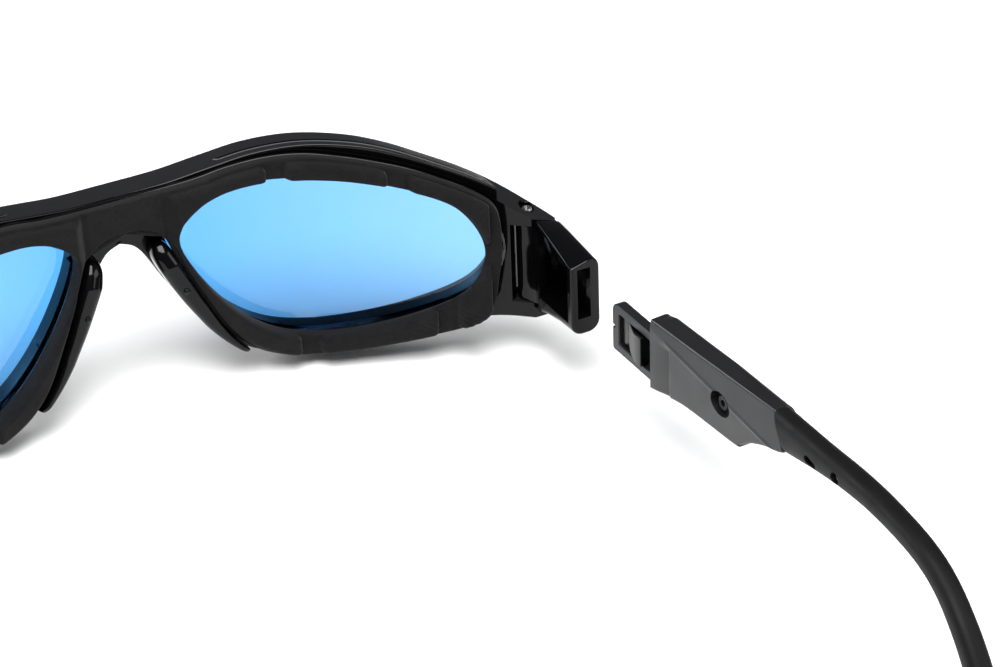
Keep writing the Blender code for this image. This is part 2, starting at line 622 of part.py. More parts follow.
def along_arm(outline, side):
    """Moves a side outline, measured from the arm's front face, to where that face is."""
    return np.asarray(outline) + np.array([arm_front(side), 0.0])


def temple_core(side):
    """The steel core that joins the arm and the tip."""
    low, high = side * CORE_INNER, side * CORE_OUTER
    core = prism(f"temple_core_{SIDE_NAMES[side]}", along_arm(core_outline(0), side), 0, low, high, STEEL)
    at = (arm_front(side) + ARM_SCREW_Y, ARM_SCREW_Z)
    hole = round_bar("hole", at, ARM_SCREW_RADIUS + FIT_GAP, 0, -2 * TALL, 2 * TALL, 16)
    return combine(core, hole, "DIFFERENCE")


def temple_arm(side):
    """The arm with its tab, window, screw recess and the cavity for the core."""
    name = f"temple_arm_{SIDE_NAMES[side]}"
    front = arm_front(side)
    outline = along_arm(np.array(ARM_SIDE) * MM, side)
    crowned = outline.copy()
    crowned[:2, 1] += ARM_CROWN
    levels = ((ARM_INNER, outline, ARM_EDGE), (ARM_INNER + ARM_EDGE, outline, 0.0),
              (ARM_OUTER - 2 * ARM_EDGE, crowned, 0.0), (ARM_OUTER, crowned, 2 * ARM_EDGE))
    rings = [np.insert(grow(loop, -inset), 0, side * u, axis=1) for u, loop, inset in levels]
    arm = loft(name, rings, SATIN_BLACK)
    low = (side * TAB_INNER, front - TAB_LENGTH, TAB_BOTTOM)
    high = (side * (TAB_INNER + TAB_THICKNESS), front + ARM_EDGE + PAST, TAB_TOP)
    combine(arm, box("tab", low, high), "UNION")
    low = (side * (TAB_INNER - PAST), front - TAB_LENGTH + TAB_FRONT_BAR, TAB_BOTTOM + TAB_SIDE_BAR)
    high = (side * (TAB_INNER + TAB_THICKNESS + PAST), front, TAB_TOP - TAB_SIDE_BAR)
    combine(arm, box("window", low, high), "DIFFERENCE")
    inside = (side * (CORE_INNER - FIT_GAP), side * (CORE_OUTER + FIT_GAP))
    combine(arm, prism("cavity", along_arm(core_outline(FIT_GAP), side), 0, *inside), "DIFFERENCE")
    turn = np.linspace(0, 2 * math.pi, 20, endpoint=False)
    oval = np.stack([np.cos(turn) * RECESS_HALF[0], np.sin(turn) * RECESS_HALF[1]], 1)
    oval = along_arm(oval + np.array([ARM_SCREW_Y, ARM_SCREW_Z]), side)
    deep = side * (CORE_INNER - CAVITY_SKIN)
    combine(arm, prism("recess", oval, 0, side * (ARM_INNER - PAST), deep), "DIFFERENCE")
    screw_at = (front + ARM_SCREW_Y, ARM_SCREW_Z)
    screw_end = side * (CORE_OUTER + ARM_SCREW_REACH + FIT_GAP)
    hole = round_bar("screw_hole", screw_at, ARM_SCREW_RADIUS + FIT_GAP, 0, deep, screw_end, 16)
    combine(arm, hole, "DIFFERENCE")
    return arm


def arm_screw(side):
    """The screw that clamps the core in the arm."""
    at = (arm_front(side) + ARM_SCREW_Y, ARM_SCREW_Z)
    head = (side * (CORE_INNER - FIT_GAP - FASTENER_HEIGHT), side * (CORE_INNER - FIT_GAP))
    screw = round_bar(f"arm_screw_{SIDE_NAMES[side]}", at, ARM_SCREW_HEAD, 0, *head)
    shank = (side * (CORE_INNER - FIT_GAP - LAP), side * (CORE_OUTER + ARM_SCREW_REACH))
    combine(screw, round_bar("shank", at, ARM_SCREW_RADIUS, 0, *shank), "UNION")
    return screw


def temple_tip(side):
    """The soft tip: rounded sections along a middle line that drops behind the ear."""
    line = smooth_line(np.array(TIP_LINE) * MM + np.array([TIP_GAP, 0.0, ARM_INNER]), 2)
    step = np.gradient(line[:, :2], axis=0)
    step /= np.linalg.norm(step, axis=1)[:, None]
    height = smooth_line(np.array(TIP_HALF_HEIGHT)[:, None] * MM, 2)
    thickness = smooth_line(np.array(TIP_HALF_THICKNESS)[:, None] * MM, 2)
    turn = np.linspace(0, 2 * math.pi, 16, endpoint=False)
    across = np.sign(np.cos(turn)) * np.abs(np.cos(turn)) ** TIP_SQUARENESS
    upward = np.sign(np.sin(turn)) * np.abs(np.sin(turn)) ** TIP_SQUARENESS * height
    lean = TIP_LEAN * np.clip(1 - np.linspace(0, 1, len(line)) / TIP_LEAN_SHARE, 0, 1)
    x = side * (line[:, 2:] + across * thickness)
    y = arm_front(side) + line[:, :1] - (step[:, 1:] + lean[:, None]) * upward
    z = line[:, 1:2] + step[:, :1] * upward
    rings = np.stack([x, y, z], axis=2)
    tip = loft(f"temple_tip_{SIDE_NAMES[side]}", rings, RUBBER_BLACK)
    inside = (side * (CORE_INNER - FIT_GAP), side * (CORE_OUTER + FIT_GAP))
    combine(tip, prism("cavity", along_arm(core_outline(FIT_GAP), side), 0, *inside), "DIFFERENCE")
    pin_at = (arm_front(side) + TIP_PIN_Y, TIP_PIN_Z)
    deep = side * (CORE_INNER - CAVITY_SKIN)
    outside = side * (ARM_INNER - PAST)
    pin_hole = round_bar("pin_hole", pin_at, TIP_PIN_RADIUS + FIT_GAP, 0, outside, deep, 16)
    combine(tip, pin_hole, "DIFFERENCE")
    y = arm_front(side) + KEYHOLE_Y
    low = (outside, y - KEYHOLE_HALF[0], KEYHOLE_Z - KEYHOLE_HALF[1])
    high = (side * (ARM_INNER + KEYHOLE_DEPTH), y + KEYHOLE_HALF[0], KEYHOLE_Z + KEYHOLE_HALF[1])
    return combine(tip, box("keyhole", low, high), "DIFFERENCE")


def tip_pin(side):
    """The pin that holds the tip on its core."""
    at = (arm_front(side) + TIP_PIN_Y, TIP_PIN_Z)
    ends = (side * (CORE_INNER - FIT_GAP - FASTENER_HEIGHT), side * (CORE_INNER - FIT_GAP))
    return round_bar(f"tip_pin_{SIDE_NAMES[side]}", at, TIP_PIN_RADIUS, 0, *ends, sides=16)


def temple_latch(side):
    """The latch tongue: hinged at the tab's front bar, with a ramped hook at its free end."""
    root = arm_front(side) - TAB_LENGTH + TAB_FRONT_BAR + FIT_GAP
    end = arm_front(side) - LATCH_END_GAP
    outer = TAB_INNER + TAB_THICKNESS - LATCH_INSET
    inner = outer - LATCH_THICKNESS
    hook = TAB_INNER - HOOK_HEIGHT
    crest = end - HOOK_LENGTH
    ramp = crest - HOOK_RAMP
    plan = [(outer, root), (outer, end), (hook, end), (hook, crest), (inner, ramp), (inner, root)]
    low, high = TAB_BOTTOM + TAB_SIDE_BAR + FIT_GAP, TAB_TOP - TAB_SIDE_BAR - FIT_GAP
    return prism(f"temple_latch_{SIDE_NAMES[side]}", mirrored(plan, side), 2, low, high, GLOSS_BLACK)


def clean(piece):
    """Merges doubled points and removes flat faces that the cuts leave."""
    work = bmesh.new()
    work.from_mesh(piece.data)
    bmesh.ops.remove_doubles(work, verts=work.verts, dist=0.001 * MM)
    bmesh.ops.dissolve_degenerate(work, edges=work.edges, dist=0.001 * MM)
    bmesh.ops.triangulate(work, faces=work.faces)
    work.to_mesh(piece.data)
    work.free()


def stand_on_origin(pieces):
    """Moves the meshes so that the origin is under the middle of the whole, at its lowest point."""
    points = np.vstack([[v.co for v in piece.data.vertices] for piece in pieces])
    low, high = points.min(0), points.max(0)
    shift = Vector((-(low[0] + high[0]) / 2, -(low[1] + high[1]) / 2, -low[2]))
    for piece in pieces:
        piece.data.transform(Matrix.Translation(shift))
    return shift


def put_origins_on_axes(pieces, shift):
    """Gives each moving piece an origin on its own joint axis, with the mesh left in place."""
    for side in (RIGHT, LEFT):
        name = SIDE_NAMES[side]
        latch_y = arm_front(side) - TAB_LENGTH + TAB_FRONT_BAR + FIT_GAP
        latch_u = TAB_INNER + TAB_THICKNESS / 2
        origins = {f"temple_socket_{name}": (side * HINGE_U, HINGE_Y),
                   f"temple_latch_{name}": (side * latch_u, latch_y)}
        for piece in pieces:
            if piece.name in origins:
                x, y = origins[piece.name]
                at = Vector((x, y, 0.0)) + shift
                piece.data.transform(Matrix.Translation(-at))
                piece.location = at


def main():
    """Clears the scene and builds every piece."""
    for old in list(bpy.data.objects):
        bpy.data.objects.remove(old)
    pieces = [frame_front(), gasket_carrier(), foam_gasket()]
    for side in (RIGHT, LEFT):
        pieces += [lens(side), nose_piece(side), nose_stud(side, "upper"), nose_stud(side, "lower")]
        pieces += [temple_socket(side), hinge_screw(side), hinge_insert(side)]
        pieces += [temple_arm(side), arm_screw(side), temple_latch(side), temple_core(side)]
        pieces += [temple_tip(side), tip_pin(side)]
    for piece in pieces:
        clean(piece)
    shift = stand_on_origin(pieces)
    put_origins_on_axes(pieces, shift)


main()
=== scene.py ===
"""Looks of sports protective goggles: a wrapped nylon front with blue lenses, a foam face gasket,
glossy nose pieces, and two temples with rubber tips that plug into hinged sockets.

Lengths here are millimetres. A point is worked out as (u, y, z): u is the distance from the middle
plane, y runs back and z up from the middle of the front's wrapped surface. Each piece is put in place
on the right (-X) or the left (+X) side only when its mesh is made."""
import math

import bmesh
import bpy
import numpy as np
from mathutils import Matrix, Vector


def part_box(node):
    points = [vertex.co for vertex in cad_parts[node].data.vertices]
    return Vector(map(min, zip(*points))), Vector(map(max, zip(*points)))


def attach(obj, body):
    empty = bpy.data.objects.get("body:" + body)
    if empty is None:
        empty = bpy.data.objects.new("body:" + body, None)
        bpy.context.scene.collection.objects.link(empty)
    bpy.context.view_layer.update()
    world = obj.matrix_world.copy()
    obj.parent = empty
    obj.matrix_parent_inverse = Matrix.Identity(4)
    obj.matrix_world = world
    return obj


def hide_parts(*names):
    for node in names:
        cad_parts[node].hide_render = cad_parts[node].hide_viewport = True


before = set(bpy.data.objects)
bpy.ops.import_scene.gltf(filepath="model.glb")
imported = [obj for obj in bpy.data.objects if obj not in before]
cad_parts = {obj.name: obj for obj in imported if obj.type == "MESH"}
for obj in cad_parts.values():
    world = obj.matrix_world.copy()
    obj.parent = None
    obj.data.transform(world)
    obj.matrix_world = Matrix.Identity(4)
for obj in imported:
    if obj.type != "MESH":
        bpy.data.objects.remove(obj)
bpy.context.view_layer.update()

bl_info = {
    "name": "Sports Protective Goggles",
    "version": (1, 0, 0),
    "blender": (4, 5, 0),
    "location": "3D View > Sidebar > Goggles",
    "description": "Builds the surfaces, materials and studio of a pair of sports protective goggles",
    "category": "Add Mesh",
}

MM = 0.001
SIDES = {"right": -1.0, "left": 1.0}


def node_box(node):
    """Lowest and highest corners of a CAD node, in millimetres."""
    return [np.array(corner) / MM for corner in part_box(node)]


# Wrapped front: plan radius, and offsets behind the wrapped surface, measured along Y
WRAP_RADIUS = 104.0
FRAME_FRONT = -2.0
FRAME_BACK = 4.7
BROW_TOP = 21.9
CARRIER_FRONT = 5.0
CARRIER_BACK = 6.0
CARRIER_GROWTH = 0.5
FOAM_FRONT = 6.3
FOAM_BACK = 8.2
PAD_BACK = 10.5
PAD_OUTER = 63.1
NOSE_BACK = 10.3
LENS_FRONT = 2.6
LENS_BACK = 4.6
LENS_GROWTH = 1.4
BEZEL_GROWTH = 0.7
SEAT_GROWTH = 1.7
WALL_LEAN = 0.55
RIM_LEAN = 0.15

# Where the middle of the wrapped surface is, from the front's own box
FRONT_LOW, FRONT_HIGH = node_box("frame_front")
ORIGIN = np.array([0.0, FRONT_LOW[1] - FRAME_FRONT, FRONT_HIGH[2] - BROW_TOP])
HALF_WIDTH = FRONT_HIGH[0]

# Hinge and socket, from the right socket's box
SOCKET_LOW, SOCKET_HIGH = (corner - ORIGIN for corner in node_box("temple_socket_right"))
SCREW_LOW, SCREW_HIGH = (corner - ORIGIN for corner in node_box("hinge_screw_right"))
HINGE_U = -(SCREW_LOW[0] + SCREW_HIGH[0]) / 2
HINGE_Y = (SCREW_LOW[1] + SCREW_HIGH[1]) / 2
SOCKET_INNER = HINGE_U - 0.2
SOCKET_OUTER = -SOCKET_LOW[0]
SOCKET_MOUTH = SOCKET_HIGH[1]
SOCKET_FRONT = SOCKET_MOUTH - 13.5
SOCKET_ROUNDING = 0.4
FRAME_END = SOCKET_FRONT - 0.5
POCKET_LOW = -10.3
POCKET_HIGH = 1.5
KNUCKLE_RADIUS = 2.1
KNUCKLE_CLEARANCE = 0.4
KNUCKLE_LOW = -11.8
KNUCKLE_HIGH = 4.1
TAB_INNER = SOCKET_INNER + 1.6
TAB_OUTER = TAB_INNER + 2.1
TAB_LOW = -8.9
TAB_HIGH = 1.0
TAB_LENGTH = 13.6
TAB_EDGE = 1.7
TAB_BAR = 2.2
TAB_ROOT = 1.5

# What the frame's end loses for the hinge: the screw's hole, its counterbore and the insert's seat as
# (radius, level), how far the gap for the knuckle reaches, and the facet on top, which falls with u and y
SCREW_HOLE = 0.95
COUNTERBORE = (1.45, 6.0)
INSERT_SEAT = (1.6, -12.8)
SWING_REACH = 4.0
GAP_REACH = 9.0
FACET_START = HALF_WIDTH - 11.4
FACET_TOP = 8.4
FACET_FALL_U = 0.34
FACET_FALL_Y = 0.43

# Gap round what slides or turns, and how far a cutter reaches past what it cuts
FIT_GAP = 0.3
CUT_LAP = 3.0
PAST = 40.0
FAR = 60.0

# Arm, measured along Y from its own front face
ARM_INNER = SOCKET_INNER + 1.2
ARM_WIDTH = 4.7
ARM_SCREW = (23.4, -0.7)
CORE_INNER = ARM_INNER + 1.8
TIP_PIN = (57.6, 3.9)
KEYHOLE = (50.5, 3.0)

# One half of each outline, as (u, z) from the middle plane outwards and round
FRAME_TOP = [(0, 18.2), (6, 18.3), (11.3, 18.7), (18.9, 20.0), (26.4, 21.4), (35, 21.87), (43.9, 20.8),
             (50.4, 19.0), (56.7, 16.4), (62.8, 13.7), (68.6, 10.4), (74.1, 6.3), (77.2, 3.6)]
FRAME_UNDER = [(77.2, -14.0), (76.0, -15.3), (66, -15.5), (60, -17.0), (53, -19.2), (46, -20.9),
               (38, -21.8), (31, -21.8), (24.5, -20.6), (19.5, -17.6), (15.4, -13.5), (12.9, -9.8),
               (10.4, -6.0), (8.3, -2.4), (6.3, 1.5), (4.6, 4.6), (2.6, 7.1), (0, 8.3)]
FOAM_EDGE = [(0, 18.2), (8, 18.3), (15, 18.9), (21, 20.1), (28, 20.9), (34.5, 20.7), (41.7, 19.2),
             (48.2, 17.4), (53, 15.8), (57.5, 13.8), (61.3, 11.9), (64.0, 9.7), (65.0, 6.5), (65.2, 0),
             (64.6, -6), (63.9, -11.0), (62.4, -14.6), (58.5, -17.2), (51.5, -19.4), (44.5, -20.8),
             (37.5, -21.4), (30.5, -21.2), (24.5, -19.4), (20.0, -16.0), (17.4, -12.6), (15.5, -9.0),
             (13.4, -4.6), (11.2, 0.2), (9.6, 4.4), (8.2, 8.0), (6.0, 10.3), (3, 11.7), (0, 12.1)]
EYE = [(10.0, 8.0), (14.2, 14.4), (23.0, 17.0), (35.0, 16.4), (47.5, 13.7), (58.0, 9.2), (62.6, 0.5),
       (59.6, -8.6), (49.5, -14.8), (37.0, -17.2), (26.0, -14.5), (16.4, -5.1)]
EYE_MIDDLE = np.array([36.0, -0.5])
# Middle line of a nose piece as (u, z), with half its width at each point
NOSE_LINE = [(6.2, 8.0), (7.1, 4.9), (8.85, 0.9), (10.95, -3.6), (13.0, -7.5), (14.5, -10.3),
             (16.6, -13.4), (18.9, -16.0), (21.0, -17.9)]
NOSE_HALF = [1.5, 1.95, 1.95, 1.75, 1.5, 1.25, 0.9, 0.65, 0.4]
STUDS = {"upper": (8.0, 5.2, 8.3), "lower": (9.7, -1.6, NOSE_BACK)}
# Arm: its bottom and top lines as (y, z), which end together along the slanted rear face
ARM_BOTTOM = [(0, -10.2), (4.8, -9.1), (12.8, -7.6), (27.8, -6.5), (29.5, -5.7), (33.2, -3.3),
              (37.8, -1.4), (41.0, -0.6), (42.6, 0.1)]
ARM_TOP = [(0, 4.2), (16.0, 5.0), (39.0, 6.4)]
# Tip: middle line as (y, z, u from the arm's inner side), half height and half thickness
TIP_LINE = [(40.8, 3.25, 2.15), (51.8, 4.0, 2.1), (60.8, 4.5, 2.1), (69.3, 4.3, 2.0), (79.2, 3.2, 1.6),
            (86.0, 0.9, 1.2), (92.0, -3.2, 0.6), (97.0, -8.4, 0.1), (101.2, -14.0, -0.5),
            (104.2, -19.2, -1.1), (106.2, -23.6, -1.7)]
TIP_HALF_HEIGHT = [3.2, 2.6, 2.15, 1.95, 1.9, 1.9, 1.95, 2.05, 2.1, 2.0, 1.4]
TIP_HALF_THICKNESS = [2.15, 2.1, 2.1, 2.05, 2.0, 2.0, 2.05, 2.1, 2.1, 1.9, 1.2]


def linear(code):
    """An sRGB hex colour as a linear (r, g, b, 1)."""
    parts = [int(code[k:k + 2], 16) / 255 for k in (1, 3, 5)]
    return (*[p / 12.92 if p <= 0.04045 else ((p + 0.055) / 1.055) ** 2.4 for p in parts], 1.0)


class GogglesSizes(bpy.types.PropertyGroup):
    """Sizes of the details that the CAD solids leave plain, in millimetres."""
    edge_radius: bpy.props.FloatProperty(
        name="Frame edge radius", default=1.1, min=0.2, max=2.0,
        description="Radius of the front frame's outer edge, in mm")
    groove_depth: bpy.props.FloatProperty(
        name="Rim groove depth", default=0.45, min=0.0, max=1.0,
        description="Depth of the groove round the frame's rim, in mm")
    pad_rounding: bpy.props.FloatProperty(
        name="Pad rounding", default=1.25, min=0.3, max=2.3,
        description="Radius of the foam pads' edges, in mm")
    channel_half: bpy.props.FloatProperty(
        name="Channel half width", default=1.6, min=0.5, max=3.0,
        description="Half the width of the channels in the foam, in mm")
    crease_rise: bpy.props.FloatProperty(
        name="Arm facet slope", default=0.12, min=0.0, max=0.3,
        description="How fast the arm's upper facet leans back above its crease")
    soft_edge: bpy.props.FloatProperty(
        name="Small edge radius", default=0.22, min=0.05, max=0.5,
        description="Radius of the small moulded edges, in mm")


class GogglesColours(bpy.types.PropertyGroup):
    """Colours of the finishes."""
    nylon: bpy.props.FloatVectorProperty(
        name="Satin nylon", subtype="COLOR", size=4, min=0, max=1,
        default=linear("#121214"), description="Frame and arms")
    gloss: bpy.props.FloatVectorProperty(
        name="Gloss nylon", subtype="COLOR", size=4, min=0, max=1,
        default=linear("#050506"), description="Sockets and nose pieces")
    foam: bpy.props.FloatVectorProperty(
        name="Foam", subtype="COLOR", size=4, min=0, max=1,
        default=linear("#131213"), description="Face gasket")
    lens: bpy.props.FloatVectorProperty(
        name="Lens", subtype="COLOR", size=4, min=0, max=1,
        default=linear("#79b6ea"), description="Lens tint towards the temple")
    lens_nose: bpy.props.FloatVectorProperty(
        name="Lens at nose", subtype="COLOR", size=4, min=0, max=1,
        default=linear("#50a0e2"), description="Lens tint towards the nose")
    rubber: bpy.props.FloatVectorProperty(
        name="Rubber", subtype="COLOR", size=4, min=0, max=1,
        default=linear("#080808"), description="Temple tips")


# Curves

def smooth(points, per_span=16):
    """A Catmull-Rom curve: each span is the cubic whose slope at a point is half the chord of its
    neighbours."""
    p = np.array(points, float)
    ends = np.vstack([2 * p[0] - p[1], p, 2 * p[-1] - p[-2]])
    t = np.linspace(0, 1, per_span, endpoint=False)[None, :, None]
    a, b, c, d = (ends[k:len(ends) - 3 + k][:, None, :] for k in range(4))
    line = 0.5 * (2 * b + (c - a) * t + (2 * a - 5 * b + 4 * c - d) * t ** 2
                  + (3 * b - a - 3 * c + d) * t ** 3)
    return np.vstack([line.reshape(-1, p.shape[1]), p[-1]])


def smooth_ring(points, per_span=16):
    """The same curve through a closed ring of points."""
    p = np.array(points, float)
    return smooth(np.vstack([p[-1], p, p[0], p[1]]), per_span)[per_span:-per_span - 1]


def evenly(line, count):
    """Points spaced evenly by length along a line."""
    line = np.asarray(line, float)
    run = np.concatenate([[0], np.cumsum(np.linalg.norm(np.diff(line, axis=0), axis=1))])
    at = np.linspace(0, run[-1], count)
    return np.stack([np.interp(at, run, column) for column in line.T], 1)


def outward(ring):
    """Unit normals of a closed plane ring, away from its inside: the tangent turned a quarter turn."""
    tangent = np.roll(ring, -1, axis=0) - np.roll(ring, 1, axis=0)
    x, y = ring.T
    turn = np.sign(np.sum(x * np.roll(y, -1) - np.roll(x, -1) * y))
    normal = np.stack([tangent[:, 1], -tangent[:, 0]], 1) * turn
    return normal / np.linalg.norm(normal, axis=1)[:, None]


def arc(middle, radius, start, stop, steps=6):
    """Points on a circle's arc between two angles in degrees."""
    turn = np.radians(np.linspace(start, stop, steps))
    return np.array(middle) + radius * np.stack([np.cos(turn), np.sin(turn)], 1)


def wrap(u):
    """How far back the wrapped surface lies at u: the drop of a circle from its tangent."""
    return WRAP_RADIUS - np.sqrt(WRAP_RADIUS ** 2 - np.asarray(u) ** 2)


def on_wrap(flat, offset):
    """Puts points (u, z) on the wrapped surface, a distance behind it."""
    flat = np.asarray(flat, float)
    return np.stack([flat[..., 0], wrap(flat[..., 0]) + offset, flat[..., 1]], -1)


def rounded_sections(width, height, radii, steps=7, side_steps=12):
    """Sections, as (count, points, 2): a rectangle from (0, 0) to (width, height) with an arc at each
    corner.

    radii holds the corner radii at the inner bottom, outer bottom, outer top and inner top. Each side
    has points between its corners too, so that a later bend of the surface has something to move."""
    width, height = np.atleast_1d(width)[:, None], np.atleast_1d(height)[:, None]
    radii = np.broadcast_to(radii, (len(width), 4))
    corners = ((0, 0, 180), (1, 0, 270), (1, 1, 0), (0, 1, 90))
    pieces = []
    for k, (right, up, start) in enumerate(corners):
        r = radii[:, k:k + 1]
        turn = np.radians(start + np.linspace(0, 90, steps))
        x = right * width + (1 - 2 * right) * r + r * np.cos(turn)
        y = up * height + (1 - 2 * up) * r + r * np.sin(turn)
        pieces.append(np.stack([x, y], -1))
    share = np.linspace(0, 1, side_steps + 2)[1:-1][None, :, None]
    ring = []
    for k in range(4):
        following = pieces[(k + 1) % 4]
        ring.append(pieces[k])
        ring.append(pieces[k][:, -1:] * (1 - share) + following[:, :1] * share)
    return np.concatenate(ring, axis=1)


def lean_out(flat, offset, amount):
    """Moves points (u, z) away from the middle plane, more towards the temple and the deeper they lie,
    by a share of the wrapped surface's own slope, so that the walls there stand nearly square to that
    surface."""
    u = flat[..., 0]
    depth = PAD_BACK - max(offset, LENS_FRONT - 0.3)
    ramp = np.clip((np.abs(u) - 18) / 34, 0, 1)
    lean = amount * depth * u / np.sqrt(WRAP_RADIUS ** 2 - u ** 2) * ramp ** 2 * (3 - 2 * ramp)
    return flat + lean[..., None] * np.array([1.0, 0.0])


def eye_wall(edge, normals, growth, offset):
    """Puts an eye's edge, grown outwards and leaning, at an offset."""
    return on_wrap(lean_out(edge + normals * growth, offset, WALL_LEAN), offset)


# Meshes

def grid_faces(rows, columns, closed_rows=False, closed_columns=False):
    """Quads that join each point of a grid with its neighbours."""
    index = np.arange(rows * columns).reshape(rows, columns)
    if closed_rows:
        index = np.vstack([index, index[:1]])
    if closed_columns:
        index = np.hstack([index, index[:, :1]])
    return np.stack([index[:-1, :-1], index[:-1, 1:], index[1:, 1:], index[1:, :-1]], -1).reshape(-1, 4)


def patch(points, closed_rows=False, closed_columns=False):
    """A grid of points, with a list of its face arrays."""
    rows, columns = points.shape[:2]
    return points.reshape(-1, 3), [grid_faces(rows, columns, closed_rows, closed_columns)]


def tube(rings):
    """A closed body through rings: the end rings are drawn in to their middles."""
    first = np.repeat(rings[:1].mean(axis=1, keepdims=True), rings.shape[1], axis=1)
    last = np.repeat(rings[-1:].mean(axis=1, keepdims=True), rings.shape[1], axis=1)
    half_first = (rings[:1] + first) / 2
    half_last = (rings[-1:] + last) / 2
    return patch(np.concatenate([first, half_first, rings, half_last, last]), closed_columns=True)


def mirror(patches, side):
    """Patches of a side's own (u, y, z) put on that side."""
    return [(points * np.array([side, 1.0, 1.0]), faces) for points, faces in patches]


def mesh_object(name, patches, material, sharp=38.0):
    """One object from patches of points: doubles are merged and faces turned outwards."""
    counts = np.cumsum([0] + [len(points) for points, _ in patches])
    points = (np.vstack([points for points, _ in patches]) + ORIGIN) * MM
    faces = []
    for (_, groups), start in zip(patches, counts):
        for group in groups:
            faces.extend((group + start).tolist())
    mesh = bpy.data.meshes.new(name)
    mesh.from_pydata(points.tolist(), [], faces)
    work = bmesh.new()
    work.from_mesh(mesh)
    bmesh.ops.remove_doubles(work, verts=work.verts, dist=0.0005 * MM)
    bmesh.ops.dissolve_degenerate(work, edges=work.edges, dist=0.0002 * MM)
    bmesh.ops.recalc_face_normals(work, faces=work.faces)
    work.to_mesh(mesh)
    work.free()
    made = bpy.data.objects.new(name, mesh)
    bpy.context.scene.collection.objects.link(made)
    made.data.materials.append(material)
    soften(made, sharp)
    return made


def soften(piece, sharp):
    """Smooth shading, with edges sharper than an angle kept crisp."""
    piece.data.shade_smooth()
    piece.data.set_sharp_from_angle(angle=math.radians(sharp))


def prism(outline, axis, low, high):
    """A body with a flat outline, drawn out along axis 0, 1 or 2."""
    outline = np.asarray(outline, float)
    rings = np.stack([np.insert(outline, axis, level, axis=1) for level in (low, high)])
    count = len(outline)
    caps = np.arange(2 * count).reshape(2, count)
    return rings.reshape(-1, 3), [grid_faces(2, count, closed_columns=True), caps]


def block(low, high):
    """A block between two corners."""
    (x0, y0, z0), (x1, y1, z1) = np.sort([low, high], axis=0)
    return prism([(x0, y0), (x1, y0), (x1, y1), (x0, y1)], 2, z0, z1)


def cut(piece, cutters, operation="DIFFERENCE", sharp=38.0):
    """Cuts or joins bodies, given as patches, with a piece."""
    for patches in cutters:
        tool = mesh_object("tool", [patches], piece.data.materials[0])
        step = piece.modifiers.new("cut", "BOOLEAN")
        step.operation = operation
        step.solver = "EXACT"
        step.object = tool
        bpy.context.view_layer.update()
        evaluated = piece.evaluated_get(bpy.context.evaluated_depsgraph_get())
        result = bpy.data.meshes.new_from_object(evaluated)
        piece.modifiers.clear()
        old = piece.data
        piece.data = result
        bpy.data.meshes.remove(old)
        spent = tool.data
        bpy.data.objects.remove(tool)
        bpy.data.meshes.remove(spent)
    piece.data.name = piece.name
    soften(piece, sharp)


def round_edges(piece, width, angle=35.0, segments=3):
    """A live bevel on the edges sharper than an angle."""
    step = piece.modifiers.new("edges", "BEVEL")
    step.width = width * MM
    step.segments = segments
    step.limit_method = "ANGLE"
    step.angle_limit = math.radians(angle)
    step.miter_outer = "MITER_ARC"


def turned(profile, middle, axis, side, sides=48):
    """A turned body: (radius, height) points carried round an axis, 0 or 2, through a point of two
    coordinates."""
    profile = np.asarray(profile, float)
    turn = np.linspace(0, 2 * math.pi, sides, endpoint=False)[None, :]
    across = profile[:, :1] * np.cos(turn)
    along = profile[:, :1] * np.sin(turn)
    height = np.broadcast_to(profile[:, 1:], across.shape)
    if axis == 2:
        points = np.stack([side * middle[0] + across, middle[1] + along, height], -1)
    else:
        points = np.stack([side * height, middle[0] + across, middle[1] + along], -1)
    return patch(points, closed_columns=True)


def finish_piece(piece, body, slot, *nodes):
    """Rides the piece on its body, and hides the CAD parts that it stands for."""
    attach(piece, body)
    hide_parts(*nodes)


# Outlines shared by the frame, the carrier and the foam

def eye_ring(flat):
    """The point of the eye opening's edge that lies in the same direction, seen from its middle, as
    each point."""
    edge = smooth_ring(EYE) - EYE_MIDDLE
    angle = np.arctan2(edge[:, 1], edge[:, 0])
    order = np.argsort(angle)
    radius = np.linalg.norm(edge, axis=1)[order]
    toward = np.asarray(flat) - EYE_MIDDLE
    wanted = np.arctan2(toward[:, 1], toward[:, 0])
    found = np.interp(wanted, angle[order], radius, period=2 * math.pi)
    return EYE_MIDDLE + np.stack([np.cos(wanted), np.sin(wanted)], 1) * found[:, None]


def whole_ring(half):
    """Both halves of an outline as one closed ring."""
    return np.vstack([half, (half * np.array([-1.0, 1.0]))[-2:0:-1]])


def half_rim(half, inset, middle_count):
    """One side's outer rim: the outline drawn in by inset, then the middle plane from bottom to top."""
    rim = half - outward(whole_ring(half))[:len(half)] * inset
    share = np.linspace(0, 1, middle_count + 2)[1:-1, None]
    middle = rim[-1] * (1 - share) + rim[0] * share
    return np.vstack([rim, middle])


